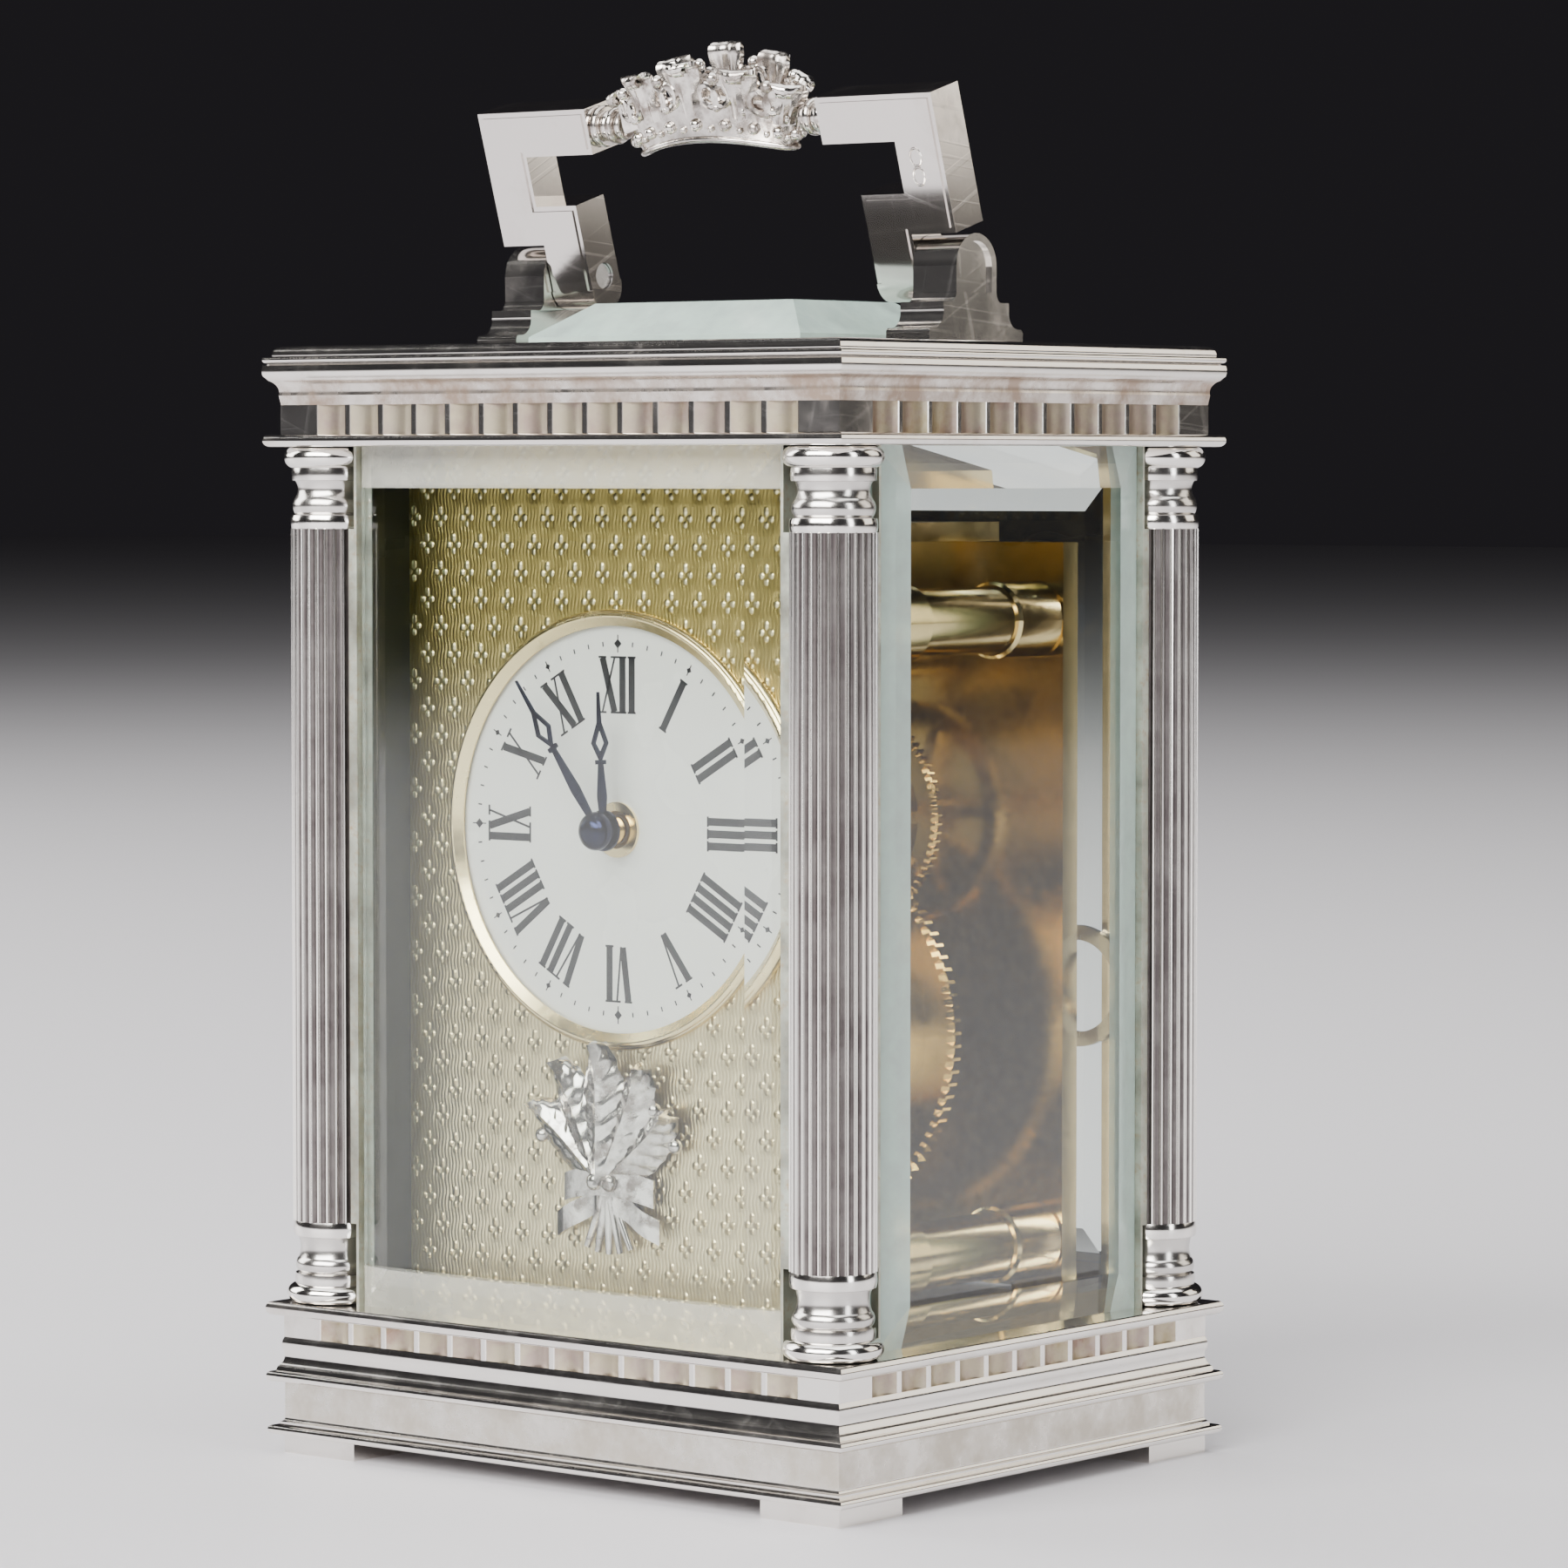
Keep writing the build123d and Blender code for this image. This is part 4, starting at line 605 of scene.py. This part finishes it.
# %% Gilt mask finish
# Painted light by height: the gilt ground is paler low down and deeper olive higher up, and the dots are
# darker low down and brighter higher up.
PAINTED_LIGHT_LOWER_GILT = (0.93, 0.81, 0.52, 1.0)
PAINTED_SHADE_UPPER_GILT = (0.50, 0.40, 0.13, 1.0)
GROOVE_GILT = (0.46, 0.34, 0.12, 1.0)
PAINTED_SHADE_LOWER_DOT = (0.70, 0.56, 0.30, 1.0)
PAINTED_HIGHLIGHT_UPPER_DOT = (1.0, 0.90, 0.58, 1.0)
CLOUDY_GILT = (0.55, 0.40, 0.16, 1.0)
material, tree, shader, place = new_material("engine-turned gilt")
pattern = place_group(tree, cluster_group, Vector=place)
clouds = place_group(tree, tarnish_group, Vector=place, Scale=45.0, Spread=0.4)
_, _, height = split(tree, place)
# Painted light and shade: the colour changes with height alone, lighter at the bottom and shaded towards
# the top.
painted_light_by_height = tree.ramp(height, 35 * MM, 80 * MM)
ground = tree.mix(painted_light_by_height, PAINTED_LIGHT_LOWER_GILT, PAINTED_SHADE_UPPER_GILT)
groove = tree.mix(tree.math("MULTIPLY", pattern["Lines"], 0.35), ground, GROOVE_GILT)
dot_colour = tree.mix(painted_light_by_height, PAINTED_SHADE_LOWER_DOT, PAINTED_HIGHLIGHT_UPPER_DOT)
bright = tree.mix(pattern["Dots"], groove, dot_colour)
film = tree.math("MULTIPLY", clouds["Mask"], 0.18)
tree.feed(shader, "Base Color", tree.mix(film, bright, CLOUDY_GILT))
relief = tree.math("ADD", tree.math("MULTIPLY", pattern["Dots"], 1.6),
                   tree.math("MULTIPLY", pattern["Lines"], 0.25))
relief = tree.math("SUBTRACT", relief, tree.math("MULTIPLY", pattern["Halo"], 0.5))
bump = tree.add("ShaderNodeBump", Strength=0.9, Distance=0.00012, Height=relief)
tree.feed(shader, "Normal", bump.outputs[0])
tree.feed(shader, "Roughness", tree.ramp(pattern["Lines"], 0.0, 1.0, 0.27, 0.38))
set_shader(shader, Metallic=1.0)
dress(material, "dial_mask")


# %% [markdown]
# ## Painted dial
# The figures are painted: thick strokes down to the right, hair-thin ones up, and thin serifs.
# Each stroke is a flat block, and a figure is a row of strokes turned to stand on the centre.

# %% Stroke helpers
dial_low, dial_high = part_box("dial_plate")
DIAL_CENTRE = Vector((0, dial_low.y, (dial_low.z + dial_high.z) / 2))
PAINT = 0.03 * MM
FIGURE_HEIGHT = 5.1 * MM
FIGURE_MIDDLE = 13.35 * MM
THICK = 0.72 * MM
THIN = 0.19 * MM
STROKE_STEP = {"I": 1.12 * MM, "V": 2.1 * MM, "X": 2.25 * MM}
print("dial face at y =", round(dial_low.y, 5), "m")


def flat_block(bm, turn, along, up, width, height, lean=0.0):
    """Thin upright block on the dial: along and up are measured in a frame turned by `turn`."""
    size = Matrix.Diagonal((width, PAINT, height, 1.0))
    lay = Matrix.Translation((along, -PAINT / 2, up)) @ Matrix.Rotation(lean, 4, "Y")
    spin = Matrix.Rotation(turn, 4, "Y")
    matrix = Matrix.Translation(DIAL_CENTRE) @ spin @ lay @ size
    return bmesh.ops.create_cube(bm, size=1.0, matrix=matrix)["verts"]


def leaning_stroke(bm, turn, foot, head, width):
    """Stroke from the figure's foot to its head, at the given places along it."""
    lean = atan2(head - foot, FIGURE_HEIGHT)
    length = FIGURE_HEIGHT / cos(lean) - width * 0.2
    flat_block(bm, turn, (head + foot) / 2, FIGURE_MIDDLE, width, length, lean)


def serif(bm, turn, along, end, width):
    """Thin line across a stroke's head (end 1) or foot (end -1)."""
    flat_block(bm, turn, along, FIGURE_MIDDLE + end * FIGURE_HEIGHT / 2, width, THIN)


# %% One figure
def figure(bm, letters, turn):
    """Roman figure standing on the dial's centre, its middle at the angle `turn` from twelve."""
    width = sum(STROKE_STEP[letter] for letter in letters)
    left = -width / 2
    for letter in letters:
        step = STROKE_STEP[letter]
        middle = left + step / 2
        reach = step * 0.33
        if letter == "I":
            flat_block(bm, turn, middle, FIGURE_MIDDLE, THICK, FIGURE_HEIGHT)
            for end in (-1, 1):
                serif(bm, turn, middle, end, step * 0.86)
        elif letter == "V":
            leaning_stroke(bm, turn, middle, middle - reach, THICK)
            leaning_stroke(bm, turn, middle + THIN, middle + reach, THIN)
            for side in (-1, 1):
                serif(bm, turn, middle + side * reach, 1, step * 0.42)
        else:
            leaning_stroke(bm, turn, middle + reach, middle - reach, THICK)
            leaning_stroke(bm, turn, middle - reach, middle + reach, THIN)
            for side in (-1, 1):
                for end in (-1, 1):
                    serif(bm, turn, middle + side * reach, end, step * 0.42)
        left += step


# %% From bmesh to a piece
def piece_from(bm, name, material, body, smooth_angle=None):
    """Turn a bmesh into a finished piece that rides on a body."""
    mesh = bpy.data.meshes.new(name)
    bm.to_mesh(mesh)
    bm.free()
    mesh.materials.append(material)
    piece = bpy.data.objects.new(name, mesh)
    bpy.context.scene.collection.objects.link(piece)
    if smooth_angle is not None:
        mesh.shade_smooth()
        mesh.set_sharp_from_angle(angle=radians(smooth_angle))
    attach(piece, body)
    print(name, len(mesh.polygons), "faces")
    return piece


# %% Figures and minute track
FIGURES = ["XII", "I", "II", "III", "IIII", "V", "VI", "VII", "VIII", "IX", "X", "XI"]
TRACK = 17.15 * MM
MINUTE_DOT = (0.13 * MM, 0.45 * MM)
DIAMOND = 0.42 * MM
DIAMOND_POINT = (0.10 * MM, 1.1 * MM)
paint = bmesh.new()
for hour, letters in enumerate(FIGURES):
    figure(paint, letters, radians(30 * hour))
for minute in range(60):
    turn = radians(6 * minute)
    if minute % 5:
        flat_block(paint, turn, 0.0, TRACK, *MINUTE_DOT)
        continue
    large = 1.5 if minute % 15 == 0 else 1.0
    flat_block(paint, turn, 0.0, TRACK, DIAMOND * large, DIAMOND * large, radians(45))
    flat_block(paint, turn, 0.0, TRACK, DIAMOND_POINT[0], DIAMOND_POINT[1] * large)
print("strokes and marks:", len(paint.faces) // 6)

# %% Dial paint
FULL_BLACK = (0.012, 0.012, 0.014, 1.0)
WORN_BLACK = (0.035, 0.034, 0.036, 1.0)
material, tree, shader, place = new_material("black dial paint")
worn = tree.noise(place, 900.0, 3.0, 0.6)
tree.feed(shader, "Base Color", tree.mix(worn, FULL_BLACK, WORN_BLACK))
tree.feed(shader, "Roughness", tree.ramp(worn, 0.3, 0.7, 0.35, 0.5))
piece_from(paint, "dial_figures", material, "case")


# %% [markdown]
# ## Cast parts
# The crest and the badge are cast: thick straps, leaves, beads and wires, soldered together and
# worn soft. A strap or a leaf is a flat grid whose points are moved by a formula and which is
# then given a thickness, so that one helper makes every sheet-like shape. Each helper adds its
# shape to a bmesh, and every shape has real thickness.

# %% Sheets of cast metal
def merge_into(bm, part):
    """Move a finished small bmesh into a larger one."""
    mesh = bpy.data.meshes.new("part")
    part.to_mesh(mesh)
    part.free()
    bm.from_mesh(mesh)
    bpy.data.meshes.remove(mesh)


def bent_sheet(bm, matrix, shape, cells, thickness):
    """Thick sheet whose middle surface is shape(across, along), across -1..1 and along 0..1."""
    sheet = bmesh.new()
    bmesh.ops.create_grid(sheet, x_segments=cells[0], y_segments=cells[1], size=1.0)
    for vertex in sheet.verts:
        vertex.co = shape(vertex.co.x, (vertex.co.y + 1) / 2)
    bmesh.ops.remove_doubles(sheet, verts=sheet.verts[:], dist=0.01 * MM)
    bmesh.ops.recalc_face_normals(sheet, faces=sheet.faces[:])
    bmesh.ops.solidify(sheet, geom=sheet.faces[:], thickness=thickness)
    bmesh.ops.recalc_face_normals(sheet, faces=sheet.faces[:])
    bmesh.ops.transform(sheet, matrix=matrix, verts=sheet.verts[:])
    merge_into(bm, sheet)


# %% Leaves
def veined_leaf(bm, matrix, length, width, curl, veins):
    """Laurel leaf growing along +Z and facing -Y, with a midrib, side veins and a curled tip."""
    def shape(across, along):
        reach = width / 2 * sin(pi * (0.07 + 0.90 * along)) ** 0.75
        rib = 0.45 * max(0.0, 1 - abs(across) * 4.5)
        vein = 0.30 * abs(sin(pi * veins * (along - 0.16 * abs(across)))) * min(1.0, abs(across) * 4)
        dome = 1.0 * (1 - across * across)
        bend = curl * max(0.0, along - 0.55)
        forward = dome + rib + vein + 3.2 * (1 - cos(bend))
        rise = along * length / MM - 1.1 * bend * max(0.0, along - 0.55)
        return Vector((across * reach / MM, -forward, rise)) * MM
    bent_sheet(bm, matrix, shape, (14, 30), 0.35 * MM)


def scrolled_leaf(bm, matrix, stem, roll, width):
    """Strap that rises by stem millimetres, widens, and rolls forward into a scroll."""
    def shape(across, along):
        if along < 0.5:
            forward, rise = 0.0, stem * along / 0.5
        else:
            rolled = (along - 0.5) / 0.5
            turn = rolled * radians(235)
            shrink = roll * (1 - 0.35 * rolled)
            forward, rise = shrink * (1 - cos(turn)), stem + shrink * sin(turn)
        flare = 0.42 + 0.58 * sin(pi * min(1.0, max(0.0, along - 0.12) / 0.78)) ** 1.5
        ridge = 0.22 * cos(across * pi) + 0.12 * cos(across * 3 * pi)
        return Vector((across * width / 2 * flare, -forward - ridge * (1 - along * 0.6), rise)) * MM
    bent_sheet(bm, matrix, shape, (10, 26), 0.45 * MM)


# %% Beads, wires and rods
def bead(bm, place, radius, squash=1.0):
    """Small round bead, flattened front to back by squash."""
    matrix = Matrix.Translation(place) @ Matrix.Diagonal((radius, radius * squash, radius, 1.0))
    bmesh.ops.create_icosphere(bm, subdivisions=2, radius=1.0, matrix=matrix)


def wire_loop(bm, matrix, radius, thickness, stretch=1.0, round_steps=24):
    """Closed loop of round wire lying in the XZ plane, stretched along Z."""
    ring = bmesh.new()
    start = Matrix.Translation((radius, 0, 0))
    bmesh.ops.create_circle(ring, segments=8, radius=thickness, matrix=start)
    bmesh.ops.spin(ring, geom=ring.edges[:], axis=(0, 1, 0), cent=(0, 0, 0), angle=2 * pi,
                   steps=round_steps, use_merge=True)
    bmesh.ops.recalc_face_normals(ring, faces=ring.faces[:])
    stretched = matrix @ Matrix.Diagonal((1.0, 1.0, stretch, 1.0))
    bmesh.ops.transform(ring, matrix=stretched, verts=ring.verts[:])
    merge_into(bm, ring)


def tapered_rod(bm, matrix, length, radius_low, radius_high):
    """Round rod growing along +Z."""
    lay = matrix @ Matrix.Translation((0, 0, length / 2))
    bmesh.ops.create_cone(bm, cap_ends=True, segments=16, radius1=radius_low,
                          radius2=radius_high, depth=length, matrix=lay)


def turned_y(angle):
    """Turn about Y, which tips a piece that faces the viewer to its left or right."""
    return Matrix.Rotation(angle, 4, "Y")


# %% [markdown]
# ## Crest on the handle
# A flared oval circlet with an arched lower edge carries ten scrolled leaves, with beads along
# the circlet and open double loops between the leaves. The handle leans, so the crest is
# modelled upright over the pivot, where its formulas stay simple, and then turned as one mesh.

# %% Oval circlet
PIVOT = Vector((0, 0, 111.7)) * MM
LEAN = radians(17)
to_handle = Matrix.Translation(PIVOT) @ Matrix.Rotation(LEAN, 4, "X")
ARCH_RADIUS = 26.3
ARCH_DROP = 13.1
HALF_WIDTH = 9.0
HALF_DEPTH = 2.6


def circlet_point(angle, up, out=0.0):
    """Point on the flared oval wall, `up` millimetres above its arched foot."""
    half_x = HALF_WIDTH + 0.36 * up + out
    half_y = HALF_DEPTH + 0.10 * up + out
    across = half_x * sin(angle)
    foot = sqrt(ARCH_RADIUS ** 2 - across ** 2) - ARCH_DROP
    return Vector((across, -half_y * cos(angle), foot + up)) * MM


def facing_out(angle):
    """Turn about Z that makes -Y face out of the oval wall at this angle."""
    normal = Vector((sin(angle) / 9.5, -cos(angle) / 2.8, 0)).normalized()
    return Matrix.Rotation(atan2(normal.x, -normal.y), 4, "Z")


def scalloped_wall(across, along):
    """Wall of the circlet, its upper edge in twelve low scallops."""
    angle = across * pi
    scallop = 0.5 * along * abs(sin(6 * angle))
    return circlet_point(angle, 0.25 + 3.6 * along + scallop)


def foot_wire(across, along):
    """Round wire along the foot of the circlet."""
    turn = 2 * pi * along
    return circlet_point(across * pi, 0.30 + 0.32 * sin(turn), 0.05 + 0.32 * cos(turn))


crest = bmesh.new()
upright = Matrix.Identity(4)
bent_sheet(crest, upright, scalloped_wall, (120, 6), 0.8 * MM)
bent_sheet(crest, upright, foot_wire, (96, 10), 0.05 * MM)
print("circlet:", len(crest.faces), "faces")

# %% Beads round the circlet
BEADS_ROUND = 36
for index in range(BEADS_ROUND):
    angle = 2 * pi * index / BEADS_ROUND
    large = index % 2 == 0
    spot = circlet_point(angle, 1.75 if large else 1.35, 0.15)
    bead(crest, spot, (0.62 if large else 0.33) * MM, 0.75)
print("beads round the circlet:", BEADS_ROUND)


# %% Places round the circlet
def four_ways(angle_degrees):
    """Right or left, front or back: the place's angle and the sign that splays it outwards."""
    for sign in (-1, 1):
        if angle_degrees == 0 and sign < 0:
            continue
        for back in (False, True):
            turn = sign * angle_degrees
            yield radians(180 - turn if back else turn), -sign if back else sign


def on_circlet(angle, up, out):
    """Matrix of a place on the wall, with -Y facing out of it."""
    return Matrix.Translation(circlet_point(angle, up, out)) @ facing_out(angle)


# %% Scrolled leaves
LEAF_STEMS = {0: 4.6, 33: 4.1, 66: 3.2}
LEAF_TILT = Matrix.Rotation(radians(7), 4, "X")
LEAF_ROLL = 0.95
LEAF_WIDTH = 3.9
for leaf_angle, stem in LEAF_STEMS.items():
    for angle, outwards in four_ways(leaf_angle):
        splay = turned_y(radians(leaf_angle * 0.22) * outwards)
        stand = on_circlet(angle, 2.7, -0.1) @ splay @ LEAF_TILT
        scrolled_leaf(crest, stand, stem, LEAF_ROLL, LEAF_WIDTH)
        bead(crest, circlet_point(angle, 3.4, 0.25), 0.5 * MM, 0.8)
print("crest with leaves:", len(crest.faces), "faces")

# %% Open double loops
LOOP_ANGLES = (17, 50)
LOOP_APART = 0.72 * MM
LOOP_RADIUS = 0.85 * MM
LOOP_WIRE = 0.30 * MM
for loop_angle in LOOP_ANGLES:
    for angle, _ in four_ways(loop_angle):
        spot = on_circlet(angle, 4.7, 0.1)
        for lobe in (-1, 1):
            beside = Matrix.Translation((lobe * LOOP_APART, 0, 0))
            lay = spot @ beside @ turned_y(lobe * radians(28))
            wire_loop(crest, lay, LOOP_RADIUS, LOOP_WIRE, 1.25)
        bead(crest, circlet_point(angle, 6.35, 0.1), 0.62 * MM)
        bead(crest, circlet_point(angle, 3.5, 0.2), 0.42 * MM)
print("crest with loops:", len(crest.faces), "faces")

# %% Turned ends between crest and arms
END_DISCS = ((13.6, 2.0), (12.8, 1.5), (12.0, 1.75), (11.2, 1.4))
END_HEIGHT = 14.6
DISC_THICKNESS = 0.8 * MM
DISC_ROUNDING = 0.28 * MM
for side in (-1, 1):
    for reach, radius in END_DISCS:
        spot = Matrix.Translation(Vector((side * reach, 0, END_HEIGHT)) * MM)
        disc = bmesh.ops.create_cone(crest, cap_ends=True, segments=28, radius1=radius * MM,
                                     radius2=radius * MM, depth=DISC_THICKNESS,
                                     matrix=spot @ turned_y(pi / 2))
        touching = {edge for vertex in disc["verts"] for edge in vertex.link_edges}
        rims = [edge for edge in touching if len(edge.link_faces) == 2 and edge.calc_face_angle() > 1.0]
        bmesh.ops.bevel(crest, geom=rims, offset=DISC_ROUNDING, segments=3, profile=0.5,
                        affect="EDGES", material=-1)
bmesh.ops.transform(crest, matrix=to_handle, verts=crest.verts[:])
print("whole crest:", len(crest.faces), "faces")


# %% Cast silver
def cast_pits(tree, place):
    """Tarnish that settles in the pits of cast work."""
    return tree.ramp(tree.noise(place, 650.0, 4.0, 0.6), 0.44, 0.62, 0.0, 0.85)


cast_silver = silver_material("cast silver", cast_pits, PIT_TARNISH, CAST_SILVER)
crest_piece = piece_from(crest, "crest_leafwork", cast_silver, "handle", 40)
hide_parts("handle_crest")

# %% [markdown]
# ## Blank ovals
# The right arm is punched with small marks. Here they are two plain raised ovals of fine wire.

# %% Blank ovals on the right arm
ARM_FACE = -2.25
OVAL_ACROSS = 24.6
OVAL_HEIGHTS = (10.9, 9.1)
ovals = bmesh.new()
for up in OVAL_HEIGHTS:
    spot = Matrix.Translation(Vector((OVAL_ACROSS, ARM_FACE, up)) * MM)
    wire_loop(ovals, spot, 0.62 * MM, 0.10 * MM, 1.35, 20)
bmesh.ops.transform(ovals, matrix=to_handle, verts=ovals.verts[:])
piece_from(ovals, "blank_ovals", cast_silver, "handle", 40)

# %% [markdown]
# ## Badge
# The badge is a spray of laurel: five veined leaves with berries between them, tied with a plain
# ribbon over the stems. It stands on the mask by its stems, a little proud of the gilt.

# %% Leaves of the badge
badge_low, badge_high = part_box("mask_badge")
badge = bmesh.new()
KNOT = Vector((0, badge_high.y - 0.45 * MM, badge_low.z + 7.2 * MM))
LEAVES = ((50, 11.2, 4.3, 0.0), (-50, 11.2, 4.3, 0.0), (25, 12.6, 4.8, 0.35),
          (-25, 12.6, 4.8, 0.35), (0, 13.4, 5.0, 0.7))
LEAF_CURL = 1.6
LEAF_VEINS = 7
at_knot = Matrix.Translation(KNOT)
for turn, length, width, lift in LEAVES:
    lay = at_knot @ Matrix.Translation((0, -lift * MM, 0)) @ turned_y(radians(turn))
    veined_leaf(badge, lay, length * MM, width * MM, LEAF_CURL, LEAF_VEINS)
print("badge leaves:", len(LEAVES))

# %% Berries and stems
BERRY_TURNS = (-64, -38, -12, 12, 38, 64)
STEM_TURNS = (-24, -12, 0, 12, 24)
for turn in BERRY_TURNS:
    lay = at_knot @ turned_y(radians(turn))
    twig = lay @ Matrix.Translation((0, -0.4 * MM, 0))
    tapered_rod(badge, twig, 8.6 * MM, 0.30 * MM, 0.22 * MM)
    berry = (lay @ Matrix.Translation((0, -0.7 * MM, 9.0 * MM))).to_translation()
    bead(badge, berry, 0.75 * MM, 0.8)
for turn in STEM_TURNS:
    lay = at_knot @ turned_y(pi + radians(turn)) @ Matrix.Translation((0, -0.5 * MM, 0))
    tapered_rod(badge, lay, 6.6 * MM, 0.62 * MM, 0.38 * MM)
print("berries:", len(BERRY_TURNS), "stems:", len(STEM_TURNS))


# %% Ribbon
def ribbon_band(across, along):
    """Middle of the ribbon, bowed over the stems, its ends falling a little."""
    fall = across * across
    return Vector((5.4 * across, 0.9 * fall, -1.3 + 2.6 * along - 0.9 * fall)) * MM


def ribbon_tail(side):
    """Loose end of the ribbon, waving as it falls to one side."""
    def shape(across, along):
        wave = 0.25 * sin(along * 7) + 0.3 * along
        return Vector((side * (5.2 * along), wave, across * 1.15 - 2.6 * along)) * MM
    return shape


band_place = at_knot @ Matrix.Translation(Vector((0, -1.55, 0.2)) * MM)
bent_sheet(badge, band_place, ribbon_band, (24, 6), 0.4 * MM)
for side in (-1, 1):
    tail_place = at_knot @ Matrix.Translation(Vector((side * 1.0, -1.2, -1.6)) * MM)
    bent_sheet(badge, tail_place, ribbon_tail(side), (6, 18), 0.35 * MM)
    bead(badge, KNOT + Vector((side * 0.9, -1.7, 0.15)) * MM, 0.85 * MM, 0.6)
badge_piece = piece_from(badge, "badge_leafwork", cast_silver, "case", 40)
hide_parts("mask_badge")
